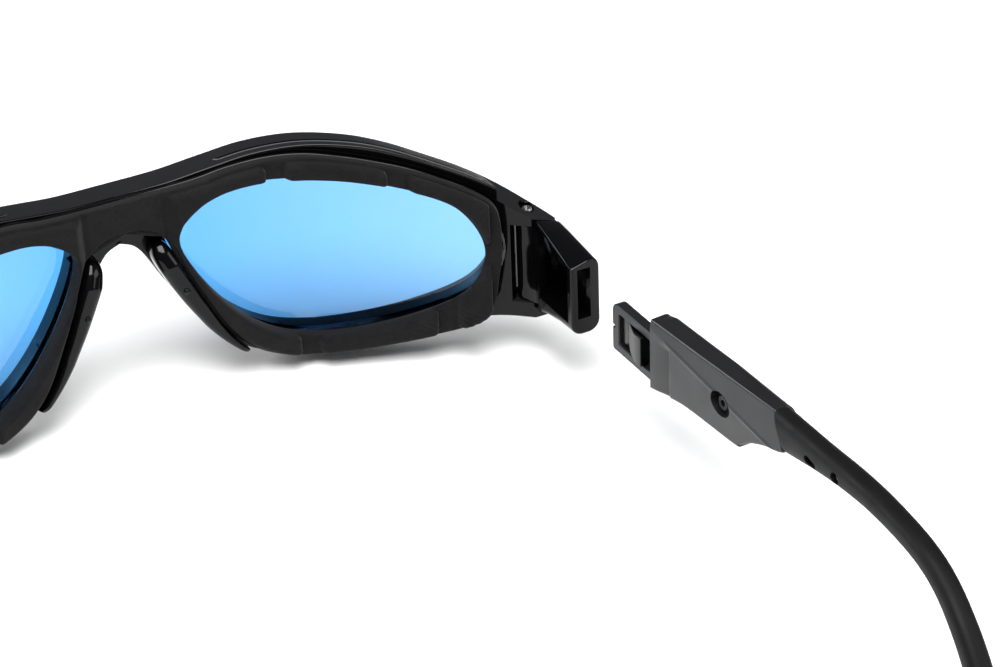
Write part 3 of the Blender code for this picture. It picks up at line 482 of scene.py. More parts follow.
def plate_with_eyes(half, edge_profile, eye_profile, rows, middle_count=14, groove=None, lean=0.0):
    """Patches of a wrapped plate with two eye holes.

    Each profile lists (distance, offset) from the front rim to the back rim: distance is drawn in from
    the outer edge, or out from the eye's edge, and offset is behind the wrapped surface. The faces
    between the rims blend the two rims in straight lines. groove gives a further inset at (point, rim),
    and lean is how much the outer rim leans."""
    ring = whole_ring(half)
    normals = outward(ring)
    edge = np.stack([on_wrap(lean_out(ring - normals * inset, offset, lean), offset)
                     for inset, offset in edge_profile])
    if groove is not None:
        offsets = np.array([offset for _, offset in edge_profile])
        edge[..., [0, 2]] -= normals * groove(ring, offsets)[..., None]
    patches = [patch(edge, closed_columns=True)]
    base = half_rim(half, 0.0, middle_count)
    eye = eye_ring(base)
    eye_normals = outward(eye)
    share = np.linspace(0, 1, rows)[:, None, None]
    for side in SIDES.values():
        band = np.stack([eye_wall(eye, eye_normals, growth, offset) for growth, offset in eye_profile])
        one = [patch(band, closed_columns=True)]
        for (growth, eye_offset), (inset, offset) in ((eye_profile[0], edge_profile[0]),
                                                      (eye_profile[-1], edge_profile[-1])):
            inner = eye_wall(eye, eye_normals, growth, eye_offset)[None][..., [0, 2]]
            outer = lean_out(half_rim(half, inset, middle_count), offset, lean)[None]
            flat = inner * (1 - share) + outer * share
            heights = eye_offset * (1 - share[..., 0]) + offset * share[..., 0]
            one.append(patch(on_wrap(flat, heights), closed_columns=True))
        patches += mirror(one, side)
    return patches


# Materials

def add_node(tree, kind, settings=None, values=None, links=None):
    """Adds one node: settings are its own choices, values its sockets' constants, links its sockets'
    sources."""
    made = tree.nodes.new(kind)
    for key, value in (settings or {}).items():
        setattr(made, key, value)
    for key, value in (values or {}).items():
        made.inputs[key].default_value = value
    for key, source in (links or {}).items():
        tree.links.new(source, made.inputs[key])
    return made


def per_mm(size):
    """Texture scale for a pattern whose features are this many millimetres apart."""
    return 1.0 / (size * MM)


def blank_material(name, values):
    """A material with one Principled shader whose constants are set."""
    made = bpy.data.materials.new(name)
    made.use_nodes = True
    tree = made.node_tree
    shader = tree.nodes["Principled BSDF"]
    for key, value in values.items():
        shader.inputs[key].default_value = value
    place = add_node(tree, "ShaderNodeTexCoord").outputs["Object"]
    return made, tree, shader, place


def mottle(tree, place, size, detail, low, high):
    """A value that drifts between two limits, from noise of a real size."""
    noise = add_node(tree, "ShaderNodeTexNoise", values={"Scale": per_mm(size), "Detail": detail},
                     links={"Vector": place})
    scaled = add_node(tree, "ShaderNodeMapRange",
                      values={"From Min": 0.3, "From Max": 0.7, "To Min": low, "To Max": high},
                      links={"Value": noise.outputs["Fac"]})
    return scaled.outputs["Result"]


def tint(tree, factor, colour, other):
    """A colour between two, by a factor."""
    mix = add_node(tree, "ShaderNodeMix", {"data_type": "RGBA"}, {"A": colour, "B": other},
                   {"Factor": factor})
    return mix.outputs["Result"]


def shade(colour, amount):
    """The same colour, lighter or darker."""
    return (*[min(1.0, part * amount) for part in colour[:3]], 1.0)


def bump(tree, shader, height, distance, strength):
    """Raises the surface by a height, as far as distance in millimetres."""
    made = add_node(tree, "ShaderNodeBump", values={"Strength": strength, "Distance": distance * MM},
                    links={"Height": height})
    tree.links.new(made.outputs["Normal"], shader.inputs["Normal"])


def satin_nylon(colour):
    """Injection-moulded nylon from a spark-eroded mould: a dark satin with a grain as fine as dust,
    which turns a reflection into a soft grey sheen."""
    made, tree, shader, place = blank_material("moulded_nylon_satin",
                                               {"IOR": 1.53, "Specular IOR Level": 0.42})
    drift = mottle(tree, place, 22.0, 3.0, 0.0, 1.0)
    tree.links.new(tint(tree, drift, shade(colour, 0.9), shade(colour, 1.12)), shader.inputs["Base Color"])
    tree.links.new(mottle(tree, place, 6.0, 4.0, 0.36, 0.44), shader.inputs["Roughness"])
    # The real grain is about 0.05 mm, drawn at 0.3 mm so that it shows
    bump(tree, shader, mottle(tree, place, 0.3, 2.0, 0.0, 1.0), 0.01, 0.2)
    return made


def gloss_nylon(colour):
    """Nylon moulded against a polished steel tool: near black, with sharp reflections that bend
    slightly where the thick parts sank as they cooled."""
    made, tree, shader, place = blank_material("moulded_nylon_polished", {
        "IOR": 1.5, "Base Color": colour, "Specular IOR Level": 0.22})
    tree.links.new(mottle(tree, place, 9.0, 2.0, 0.07, 0.13), shader.inputs["Roughness"])
    bump(tree, shader, mottle(tree, place, 5.0, 1.0, 0.0, 1.0), 0.03, 0.25)
    return made


def closed_cell_foam(colour):
    """Closed-cell EVA foam cut and hot-pressed: a matte charcoal with fine cells and a faint bloom at
    glancing angles."""
    made, tree, shader, place = blank_material("eva_foam_pressed", {
        "IOR": 1.45, "Sheen Weight": 0.06, "Sheen Roughness": 0.5, "Specular IOR Level": 0.16})
    # The real cells are about 0.1 mm, drawn at 0.35 mm so that they show
    cells = add_node(tree, "ShaderNodeTexVoronoi", values={"Scale": per_mm(0.35)}, links={"Vector": place})
    speck = mottle(tree, place, 0.5, 3.0, 0.0, 1.0)
    patches = mottle(tree, place, 7.0, 3.0, 0.0, 1.0)
    fine = tint(tree, speck, shade(colour, 0.7), shade(colour, 1.35))
    broad = add_node(tree, "ShaderNodeMix", {"data_type": "RGBA"}, {"B": shade(colour, 0.8)},
                     {"Factor": patches, "A": fine})
    tree.links.new(broad.outputs["Result"], shader.inputs["Base Color"])
    tree.links.new(mottle(tree, place, 3.0, 2.0, 0.78, 0.95), shader.inputs["Roughness"])
    bump(tree, shader, cells.outputs["Distance"], 0.1, 0.5)
    return made


def tinted_polycarbonate(colour, at_nose):
    """Clear polycarbonate dyed sky blue and hard coated: it lets light through, deeper towards the
    nose, and its coat gives sharp, weak reflections."""
    made, tree, shader, place = blank_material("polycarbonate_blue", {
        "IOR": 1.45, "Roughness": 0.02, "Transmission Weight": 1.0, "Coat Weight": 0.3,
        "Coat Roughness": 0.02})
    split = add_node(tree, "ShaderNodeSeparateXYZ", links={"Vector": place})
    from_middle = add_node(tree, "ShaderNodeMath", {"operation": "ABSOLUTE"}, links={0: split.outputs["X"]})
    share = add_node(tree, "ShaderNodeMapRange", values={"From Min": 10 * MM, "From Max": 60 * MM},
                     links={"Value": from_middle.outputs["Value"]})
    tree.links.new(tint(tree, share.outputs["Result"], at_nose, colour), shader.inputs["Base Color"])
    return made


def turned_steel(name, colour, roughness):
    """Turned metal: fine rings from the tool make a silky shine, bright on bare metal and dull where a dark
    colour is given to paint shade onto it."""
    made, tree, shader, place = blank_material(name, {"Metallic": 1.0, "Base Color": colour})
    drift = mottle(tree, place, 0.4, 2.0, roughness * 0.8, roughness * 1.3)
    tree.links.new(drift, shader.inputs["Roughness"])
    bump(tree, shader, mottle(tree, place, 0.2, 2.0, 0.0, 1.0), 0.01, 0.3)
    return made


def soft_rubber(colour):
    """Overmoulded thermoplastic rubber: deep black, with a dry matte skin that spreads light."""
    made, tree, shader, place = blank_material("tpe_rubber_moulded", {
        "IOR": 1.5, "Specular IOR Level": 0.16, "Sheen Weight": 0.04, "Sheen Roughness": 0.4})
    drift = mottle(tree, place, 15.0, 3.0, 0.0, 1.0)
    tree.links.new(tint(tree, drift, shade(colour, 0.85), shade(colour, 1.15)), shader.inputs["Base Color"])
    tree.links.new(mottle(tree, place, 5.0, 3.0, 0.5, 0.62), shader.inputs["Roughness"])
    # The real texture is about 0.08 mm, drawn at 0.35 mm so that it shows
    bump(tree, shader, mottle(tree, place, 0.35, 2.0, 0.0, 1.0), 0.015, 0.4)
    return made


def finish(name):
    """The material of that name, made once with the colours of the panel."""
    colours = bpy.context.scene.goggles_colours
    makers = {
        "satin": lambda: satin_nylon(tuple(colours.nylon)),
        "gloss": lambda: gloss_nylon(tuple(colours.gloss)),
        "foam": lambda: closed_cell_foam(tuple(colours.foam)),
        "lens": lambda: tinted_polycarbonate(tuple(colours.lens), tuple(colours.lens_nose)),
        "steel": lambda: turned_steel("stainless_steel_turned", linear("#b4b0aa"), 0.26),
        # Painted shade: the arm screw's steel is darkened here to stand for the shade inside its oval
        # recess
        "recess_shade_steel": lambda: turned_steel("steel_black_oxide", linear("#26262a"), 0.4),
        "brass": lambda: turned_steel("brass_turned", linear("#c9a35a"), 0.25),
        "rubber": lambda: soft_rubber(tuple(colours.rubber)),
    }
    key = "goggles_finish_" + name
    for material in bpy.data.materials:
        if material.get("goggles_finish") == key:
            return material
    made = makers[name]()
    made["goggles_finish"] = key
    return made


# Pieces of the front

def frame_patches(sizes):
    """The front frame as a wrapped plate, with a rounded outer edge, a groove and a lip round its rim,
    and a rounded bezel with a seat for the lens."""
    r = sizes.edge_radius
    lip = 0.35

    def groove(ring, offsets):
        """Inset of the rim's groove: a rounded channel in the brow, which stops short of the bridge and
        hinges."""
        u = np.abs(ring[:, 0])
        along = np.clip((u - 19.6) / 0.5, 0, 1) * np.clip((65.0 - u) / 0.5, 0, 1) * (ring[:, 1] > 0)
        across = np.clip(1 - ((offsets - 2.75) / 0.55) ** 2, 0, 1) ** 0.5
        return sizes.groove_depth * along[None] * across[:, None]

    half = evenly(np.vstack([smooth(FRAME_TOP), smooth(FRAME_UNDER)]), 330)
    front_edge = [(r - r * math.sin(a), FRAME_FRONT + r - r * math.cos(a))
                  for a in np.linspace(0, math.pi / 2, 8)]
    rim = [(0.0, offset) for offset in (1.2, 2.1, 2.2, 2.3, 2.45, 2.75, 3.05, 3.2, 3.3, 3.4, 3.9)]
    back_edge = [(lip - lip * math.cos(a), FRAME_BACK - lip + lip * math.sin(a))
                 for a in np.linspace(0, math.pi / 2, 5)]
    bezel = [(BEZEL_GROWTH + 0.9 - 0.9 * math.sin(a), FRAME_FRONT + 0.9 - 0.9 * math.cos(a))
             for a in np.linspace(0, math.pi / 2, 7)]
    seat = [(BEZEL_GROWTH, 2.1), (BEZEL_GROWTH + 0.15, 2.3), (SEAT_GROWTH, 2.3), (SEAT_GROWTH, FRAME_BACK)]
    return plate_with_eyes(half, front_edge + rim + back_edge, bezel + seat, rows=10, groove=groove)


def hinge_cutters(side):
    """What the hinge end loses: everything behind the seam, the facet on top, the knuckle's gap, and the
    holes of the screw and the insert. The facet's plane falls evenly with u and with y."""
    turn = math.atan2(HINGE_U, math.sqrt(WRAP_RADIUS ** 2 - HINGE_U ** 2))
    along = np.array([math.cos(turn), math.sin(turn)])
    inward = np.array([-along[1], along[0]])
    hinge = np.array([HINGE_U, HINGE_Y])
    clear = KNUCKLE_RADIUS + KNUCKLE_CLEARANCE
    local = np.vstack([arc((0, 0), clear, 270, 150, 16),
                       [(-clear, KNUCKLE_RADIUS + 2 * FIT_GAP), (-clear, GAP_REACH)]])
    behind = FRAME_END + GAP_REACH
    gap = np.vstack([hinge + local @ np.stack([along, inward]), (HINGE_U - SWING_REACH, behind),
                     (HALF_WIDTH + GAP_REACH, behind), hinge - inward * GAP_REACH])
    end = block((HINGE_U / 2, FRAME_END, -FAR), (HALF_WIDTH + PAST / 2, 2 * FAR, FAR))
    front_y = float(wrap(HINGE_U)) + FRAME_FRONT
    facet = []
    for u in (FACET_START, HALF_WIDTH + PAST / 2):
        near = FACET_TOP - FACET_FALL_U * (u - HINGE_U) + FACET_FALL_Y * front_y
        facet.append([(u, 0, near), (u, FAR, near - FACET_FALL_Y * FAR), (u, FAR, FAR), (u, 0, FAR)])
    caps = np.arange(8).reshape(2, 4)
    facet_body = (np.array(facet, float).reshape(-1, 3), [grid_faces(2, 4, closed_columns=True), caps])
    bodies = [end, facet_body, prism(gap, 2, KNUCKLE_LOW - FIT_GAP, KNUCKLE_HIGH + FIT_GAP)]
    holes = ((SCREW_HOLE, -PAST, PAST), (*COUNTERBORE, PAST), (INSERT_SEAT[0], -PAST, INSERT_SEAT[1]))
    for radius, low, high in holes:
        bodies.append(turned([(0, low), (radius, low), (radius, high), (0, high)], hinge, 2, 1.0, 40))
    return mirror(bodies, side)


def polish_back(piece):
    """Gives the faces that look backwards, and those inside the hinge ends, the polished finish."""
    mesh = piece.data
    mesh.materials.append(finish("gloss"))
    normals = np.empty(len(mesh.polygons) * 3)
    mesh.polygons.foreach_get("normal", normals)
    middles = np.empty(len(mesh.polygons) * 3)
    mesh.polygons.foreach_get("center", middles)
    normals = normals.reshape(-1, 3)
    middles = middles.reshape(-1, 3) / MM - ORIGIN
    inward = -np.sign(middles[:, 0]) * normals[:, 0]
    in_hinge = (np.abs(middles[:, 0]) > HINGE_U - 3) & (middles[:, 1] > HINGE_Y - 3)
    below_top = middles[:, 2] < KNUCKLE_HIGH + KNUCKLE_CLEARANCE
    chosen = (normals[:, 1] > 0.5) | (in_hinge & below_top & (inward > 0.2))
    mesh.polygons.foreach_set("material_index", chosen.astype(np.int32))
    mesh.update()


def make_frame(sizes):
    """The front frame."""
    piece = mesh_object("front_frame", frame_patches(sizes), finish("satin"))
    for side in SIDES.values():
        cut(piece, hinge_cutters(side))
    polish_back(piece)
    round_edges(piece, 0.12, 40.0, 2)
    finish_piece(piece, "front", "satin_black_nylon", "frame_front")


def make_carrier():
    """The thin rigid sheet between the frame and the foam, with its edges chamfered by c."""
    half = evenly(smooth(FOAM_EDGE), 260)
    c = 0.2
    edge = [(c, CARRIER_FRONT), (0.0, CARRIER_FRONT + c), (0.0, CARRIER_BACK - c), (c, CARRIER_BACK)]
    eye = [(growth + CARRIER_GROWTH, offset) for growth, offset in edge]
    patches = plate_with_eyes(half, edge, eye, rows=6, lean=RIM_LEAN)
    piece = mesh_object("gasket_sheet", patches, finish("gloss"), 60.0)
    finish_piece(piece, "front", "gloss_black_nylon", "gasket_carrier")


def distance_to(ring, flat):
    """Distance in the plane from each point to the nearest point of a ring, in slices to save memory."""
    points = flat.reshape(-1, 2)
    found = [np.sqrt(((part[:, None] - ring[None]) ** 2).sum(-1).min(1))
             for part in np.array_split(points, 24)]
    return np.concatenate(found).reshape(flat.shape[:-1])


def quarter_round(distance, radius):
    """Rises from 0 to 1 like a quarter circle over one radius."""
    share = np.clip(distance / radius, 0, 1)
    return np.sqrt(1 - (1 - share) ** 2)


def foam_height(flat, outer, eye, sizes):
    """Offset of the foam's back: a base with rounded rims, and pads that rise like quarter rounds from
    the edges and channels, with their corners rounded too. At the bridge they sink in a soft fold, and
    where the foam was pressed there are slow ripples and, at the lower outer corner, fine wrinkles."""
    to_edge = distance_to(outer, flat)
    to_eye = distance_to(eye, flat)
    u, z = np.abs(flat[..., 0]), flat[..., 1]
    base = FOAM_BACK - 0.6 * (1 - quarter_round(to_edge, 0.6)) - 0.5 * (1 - quarter_round(to_eye, 0.5))
    r = sizes.pad_rounding
    to_rim = np.minimum(to_edge - 0.5, PAD_OUTER - u)
    short = np.clip(r - to_rim, 0, None) ** 2 + np.clip(r - to_eye * 1.25, 0, None) ** 2
    for middle, upper in ((28.3, True), (49.0, True), (32.2, False), (56.0, False)):
        here = z > 0 if upper else z < 0
        short += here * np.clip(r - (np.abs(u - middle) - sizes.channel_half), 0, None) ** 2
    rise = quarter_round(r - np.sqrt(short), r)
    fold = np.clip((u - 7.6) / 2.6, 0, 1)
    rise = rise * fold ** 2 * (3 - 2 * fold)
    crease = 0.35 * np.exp(-((u - 7.7) / 0.55) ** 2) + 0.12 * np.exp(-((u - 10.6) / 0.5) ** 2)
    ripple = np.sin(u * 0.9 + z * 0.35) + np.sin(z * 1.1 - u * 0.5) + np.sin(u * 0.33 - z * 0.8)
    corner = np.exp(-(((u - 57) / 4.5) ** 2 + ((z + 14.5) / 2.5) ** 2))
    wrinkle = 0.09 * corner * np.sin((u * 0.8 + z * 1.6) * 3.4 + np.sin(u * 1.3))
    pads = (PAD_BACK - FOAM_BACK) * rise * (0.96 + 0.012 * ripple + wrinkle)
    return base + pads - crease * (base > FOAM_BACK - 1)


def make_foam(sizes):
    """The foam face gasket."""
    half = evenly(smooth(FOAM_EDGE), 560)
    rim = half_rim(half, 0.0, 40)
    eye = eye_ring(rim)
    outer = whole_ring(half)
    share = np.linspace(0, 1, 42)
    share = (0.6 * share + 0.4 * (0.5 - 0.5 * np.cos(math.pi * share)))[:, None, None]
    flat = eye[None] * (1 - share) + rim[None] * share
    back = foam_height(flat, outer, eye, sizes)
    coarse = np.linspace(0, 1, 6)[:, None, None]
    deep_eye = eye_wall(eye, outward(eye), 0.0, FOAM_FRONT)
    deep_rim = lean_out(rim, FOAM_FRONT, RIM_LEAN)
    front = on_wrap(deep_eye[None][..., [0, 2]] * (1 - coarse) + deep_rim[None] * coarse, FOAM_FRONT)
    one = [patch(on_wrap(flat, back), closed_columns=True), patch(front, closed_columns=True)]
    top_eye = on_wrap(eye, back[0])
    inner_wall = np.stack([deep_eye, (deep_eye + top_eye) / 2, top_eye])
    deep_edge = on_wrap(deep_rim[:len(half)], FOAM_FRONT)
    top_edge = on_wrap(half, back[-1][:len(half)])
    edge_wall = np.stack([deep_edge, (deep_edge + top_edge) / 2, top_edge])
    one += [patch(inner_wall, closed_columns=True), patch(edge_wall)]
    patches = mirror(one, -1.0) + mirror(one, 1.0)
    piece = mesh_object("foam_pad", patches, finish("foam"), 70.0)
    finish_piece(piece, "front", "charcoal_foam", "foam_gasket")


def make_lens(name, side):
    """One lens: a wrapped disc whose rings shrink evenly to its middle, with a rounded rim."""
    turn = np.linspace(0, 2 * math.pi, 360, endpoint=False)
    edge = eye_ring(EYE_MIDDLE + np.stack([np.cos(turn), np.sin(turn)], 1))
    normals = outward(edge)
    edge = eye_wall(edge, normals, LENS_GROWTH - 0.2, LENS_FRONT + 0.6)[:, [0, 2]]
    rim = edge + normals * 0.2
    share = np.linspace(0, 1, 40)[:, None, None]
    disc = EYE_MIDDLE + (edge - EYE_MIDDLE)[None] * share
    levels = ((edge, LENS_FRONT), (rim, LENS_FRONT + 0.2), (rim, LENS_BACK - 0.2), (edge, LENS_BACK))
    wall = np.stack([on_wrap(loop, offset) for loop, offset in levels])
    patches = [patch(on_wrap(disc, LENS_FRONT), closed_columns=True),
               patch(on_wrap(disc, LENS_BACK), closed_columns=True), patch(wall, closed_columns=True)]
    piece = mesh_object("lens_disc_" + name, mirror(patches, side), finish("lens"), 50.0)
    finish_piece(piece, "front", "blue_polycarbonate", "lens_" + name)


def make_nose_piece(name, side):
    """A glossy nose piece: rounded sections carried down its middle line, its back sloping away at the
    top."""
    path = evenly(smooth(np.column_stack([NOSE_LINE, NOSE_HALF])), 90)
    line, half = path[:, :2], path[:, 2]
    share = np.linspace(0, 1, len(path))
    ends = quarter_round(np.minimum(share, 1 - share) * 22.0 + 0.02, 1.6)
    half = half * (0.35 + 0.65 * ends)
    step = np.gradient(line, axis=0)
    step /= np.linalg.norm(step, axis=1)[:, None]
    across = np.stack([-step[:, 1], step[:, 0]], 1)
    slope = NOSE_BACK + 2.0 - (line[:, 1] - 0.5) * (6.0 / 11.5)
    back = np.minimum(NOSE_BACK, slope - wrap(line[:, 0]))
    depth = (back - CARRIER_FRONT) * (0.55 + 0.45 * ends)
    radii = np.stack([0.25 + 0 * half, half * 0.9, half * 0.9, 0.25 + 0 * half], 1)
    section = rounded_sections(depth, half * 2, radii, 9, 6)
    flat = line[:, None] + across[:, None] * (section[..., 1:] - half[:, None, None])
    points = on_wrap(flat, CARRIER_FRONT + section[..., 0])
    piece = mesh_object("nose_pad_" + name, mirror([tube(points)], side), finish("gloss"), 50.0)
    finish_piece(piece, "front", "gloss_black_nylon", "nose_piece_" + name)
    for where, (u, z, back) in STUDS.items():
        r = 0.6
        end = back + float(wrap(u)) + 0.5
        dome = [(r * math.cos(a), end - 0.35 + 0.35 * math.sin(a)) for a in np.linspace(0, math.pi / 2, 8)]
        profile = np.array([(0, end - 3), (r, end - 3)] + dome)
        turn = np.linspace(0, 2 * math.pi, 32, endpoint=False)[None]
        points = np.stack([u + profile[:, :1] * np.cos(turn), np.repeat(profile[:, 1:], 32, axis=1),
                           z + profile[:, :1] * np.sin(turn)], -1)
        body = mirror([patch(points, closed_columns=True)], side)
        stud = mesh_object(f"nose_stud_cap_{where}_{name}", body, finish("gloss"), 50.0)
        finish_piece(stud, "front", "gloss_black_nylon", f"nose_stud_{where}_{name}")


def make_hinge_hardware(name, side):
    """The hinge screw, with a round recess in its domed head, and the brass insert below it."""
    hinge = (HINGE_U, HINGE_Y)
    head = [(0, 6.5), (0.38, 6.5), (0.42, 6.55), (0.42, 6.92), (0.46, 6.98), (0.7, 7.0), (0.92, 6.9),
            (1.03, 6.72), (1.05, 6.6), (1.05, 6.36), (1.0, 6.3), (0.65, 6.3)]
    shank = [(0.65, -14.3), (0.45, -14.6), (0, -14.6)]
    shape = turned(head + shank, hinge, 2, side)
    screw = mesh_object("screw_hinge_" + name, [shape], finish("steel"), 30.0)
    finish_piece(screw, "front", "stainless_steel", "hinge_screw_" + name)
    ring = [(0.75, -15.0), (1.2, -15.0), (1.3, -14.9), (1.3, -13.2), (1.2, -13.1), (0.75, -13.1),
            (0.75, -15.0)]
    insert = mesh_object("insert_hinge_" + name, [turned(ring, hinge, 2, side)], finish("brass"), 30.0)
    finish_piece(insert, "front", "brass", "hinge_insert_" + name)


# Pieces of the temples

def make_socket(name, side, sizes):
    """The hinged socket: rounded sections from the seam to the mouth, joined to the knuckle, with the
    pocket and the tab's slot cut out."""
    length = SOCKET_MOUTH - SOCKET_FRONT
    start = SOCKET_ROUNDING * (1 - np.cos(np.linspace(0, math.pi / 2, 7)))
    middle = np.linspace(SOCKET_ROUNDING, length - SOCKET_ROUNDING, 26)[1:-1]
    along = np.concatenate([start, middle, (length - start)[::-1]])
    share = along / length
    bottom = np.interp(share, [0, 0.25, 0.6, 1], [-14.0, -13.2, -12.6, -12.6])
    top = np.interp(share, [0, 0.25, 0.6, 1], [4.2, 4.1, 3.8, 3.4])
    y = SOCKET_FRONT + along
    draw = SOCKET_ROUNDING * (1 - quarter_round(np.minimum(along, length - along), SOCKET_ROUNDING))
    width = SOCKET_OUTER - SOCKET_INNER - 2 * draw
    corners = ([0.7, 1.4, 2.3], [2.4, 2.4, 2.4], [1.6, 1.75, 2.6], [0.55, 0.55, 0.55])
    radii = np.stack([np.interp(share, [0, 0.15, 1], corner) for corner in corners], 1)
    section = rounded_sections(width, top - bottom - 2 * draw, radii, 11, 8)
    u = SOCKET_INNER + draw[:, None] + section[..., 0]
    z = (bottom + draw)[:, None] + section[..., 1]
    upper = np.clip((z - 1.6) / (top[:, None] - 1.6), 0, 1)
    inner = np.clip(1 - section[..., 0] / width[:, None], 0, 1)
    z = z + upper * inner * (1.8 - 3.4 * share[:, None])
    body = np.stack([u, np.broadcast_to(y[:, None], u.shape), z], -1)
    piece = mesh_object("socket_body_" + name, mirror([tube(body)], side), finish("gloss"))
    turn = math.atan2(HINGE_U, math.sqrt(WRAP_RADIUS ** 2 - HINGE_U ** 2))
    along = np.array([math.cos(turn), math.sin(turn)])
    inward = np.array([-along[1], along[0]])
    knuckle = arc((0, 0), KNUCKLE_RADIUS, 270, 90, 25) @ np.stack([along, inward]) + (HINGE_U, HINGE_Y)
    for reach, low, high in ((1.1, KNUCKLE_LOW, KNUCKLE_HIGH), (0.3, -10.8, 3.2)):
        shoulder = SOCKET_OUTER - np.array([reach, 1.8, 2.8])
        inside = [(u, SOCKET_FRONT + 1.0) for u in (SOCKET_INNER + 0.05, shoulder[0])]
        plan = np.vstack([knuckle, inside, np.stack([shoulder, wrap(shoulder) + FRAME_FRONT + 0.35], 1)])
        cut(piece, mirror([prism(plan, 2, low, high)], side), "UNION")
    slot = block((TAB_INNER - FIT_GAP, SOCKET_MOUTH - TAB_LENGTH, TAB_LOW - FIT_GAP),
                 (TAB_OUTER + FIT_GAP, SOCKET_MOUTH + CUT_LAP, TAB_HIGH + FIT_GAP))
    pocket = block((SOCKET_INNER - CUT_LAP, SOCKET_FRONT + 1.1, POCKET_LOW),
                   (SOCKET_OUTER - 1.2, SOCKET_MOUTH - 1.5, POCKET_HIGH))
    bore = turned([(0, -PAST), (0.9, -PAST), (0.9, PAST), (0, PAST)], (HINGE_U, HINGE_Y), 2, 1.0, 32)
    cut(piece, mirror([slot, pocket, bore], side))
    round_edges(piece, sizes.soft_edge, 45.0, 3)
    finish_piece(piece, "socket_" + name, "gloss_black_nylon", "temple_socket_" + name)


def arm_front(name):
    """Y of an arm's front face, from the arm's own box."""
    return node_box("temple_arm_" + name)[0][1] - ORIGIN[1] + TAB_LENGTH


def crease_height(y):
    """Height of the crease on the arm's inner side."""
    return np.interp(y, [0, 5.1, 20.6, 39.3, 43], [2.4, 2.05, 0.8, -0.85, -1.4])


def arm_sections(sizes):
    """Sections of the arm between its bottom and top lines, as (u, y, z) from its front face.

    The inner side leans back above the crease, has a shallow scoop near the front, and a fine ridge
    along the crease. The top rises towards the outer side and the outer side is crowned."""
    share = np.linspace(0, 1, 150)
    low = evenly(smooth(ARM_BOTTOM, 8), 400)
    high = evenly(np.array(ARM_TOP, float), 400)
    run = np.linspace(0, 1, 400)
    bottom = np.stack([np.interp(share, run, low[:, k]) for k in (0, 1)], 1)
    top = np.stack([np.interp(share, run, high[:, k]) for k in (0, 1)], 1)
    height = np.linalg.norm(top - bottom, axis=1)
    draw = 0.3 * (1 - quarter_round(np.minimum(share, 1 - share) * 41.0, 0.3))
    section = rounded_sections(ARM_WIDTH - 2 * draw, height - 2 * draw, (0.55, 1.3, 1.5, 0.4), 8, 44)
    across = draw[:, None] + section[..., 0]
    rise = draw[:, None] + section[..., 1]
    toward = (top - bottom) / height[:, None]
    y = bottom[:, :1] + toward[:, :1] * rise
    z = bottom[:, 1:] + toward[:, 1:] * rise
    depth = across / ARM_WIDTH
    crown = 0.9 * np.clip((rise / height[:, None] - 0.4) / 0.6, 0, 1) * np.clip(depth, 0, 1)
    z = z + crown * np.clip((1 - share[:, None]) * 2.4, 0.05, 1) * np.clip(share[:, None] * 12, 0.3, 1)
    above = z - crease_height(y)
    lean = sizes.crease_rise * np.maximum(above, 0)
    ridge = -0.10 * np.exp(-(above / 0.3) ** 2) * np.clip((y - 4.6) / 2.0, 0, 1)
    scoop = 0.4 * np.clip((y - 1.9) / 4.4, 0, 1) ** 1.5 * np.clip((6.9 - y) / 0.5, 0, 1)
    scoop = scoop * np.clip((1.6 - z) / 1.0, 0, 1)
    inner = np.clip(1 - depth, 0, 1) ** 3
    across = across + (lean + ridge + scoop) * inner
    bulge = 0.3 * (2 * rise / height[:, None] - 1) ** 2
    across = across - bulge * np.clip(depth, 0, 1) ** 3
    return np.stack([ARM_INNER + across, y, z], -1)


def tab_patches():
    """The tab: a flat bar frame round the latch's window, with its front upper corner rounded off."""
    height = TAB_HIGH - TAB_LOW
    outer = rounded_sections(TAB_LENGTH + TAB_ROOT, height, (0.5, 0.2, 0.2, 1.8), 6, 2)[0]
    inner = rounded_sections(TAB_LENGTH - 1.6, height - 2 * TAB_EDGE, 0.25, 6, 2)[0] + (TAB_BAR, TAB_EDGE)
    rings = ((outer, TAB_INNER), (outer, TAB_OUTER), (inner, TAB_OUTER), (inner, TAB_INNER))
    points = np.stack([np.insert(loop + (-TAB_LENGTH, TAB_LOW), 0, u, axis=1) for loop, u in rings])
    return patch(points, closed_rows=True, closed_columns=True)


def moved(patches, y):
    """Patches moved along Y."""
    return [(points + np.array([0.0, y, 0.0]), faces) for points, faces in patches]


def make_arm(name, side, sizes):
    """The arm with its screw recess, and the tab with its window and the notch in its front edge."""
    front = arm_front(name)
    patches = mirror(moved([tube(arm_sections(sizes))], front), side)
    body = mesh_object("arm_body_" + name, patches, finish("satin"))
    turn = np.linspace(0, 2 * math.pi, 48, endpoint=False)
    oval = np.stack([np.cos(turn) * 3.0, np.sin(turn) * 2.2], 1) + np.array(ARM_SCREW)
    cut(body, mirror(moved([prism(oval, 0, ARM_INNER - CUT_LAP, CORE_INNER - 0.1)], front), side))
    finish_piece(body, "temple_" + name, "satin_black_nylon", "temple_arm_" + name)
    tab = mesh_object("arm_tab_" + name, mirror(moved([tab_patches()], front), side), finish("satin"))
    notch = block((TAB_INNER - CUT_LAP, -TAB_LENGTH - CUT_LAP, -4.2),
                  (TAB_INNER + 0.9, -TAB_LENGTH + 0.9, -3.75))
    cut(tab, mirror(moved([notch], front), side))
    round_edges(tab, sizes.soft_edge)
    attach(tab, "temple_" + name)


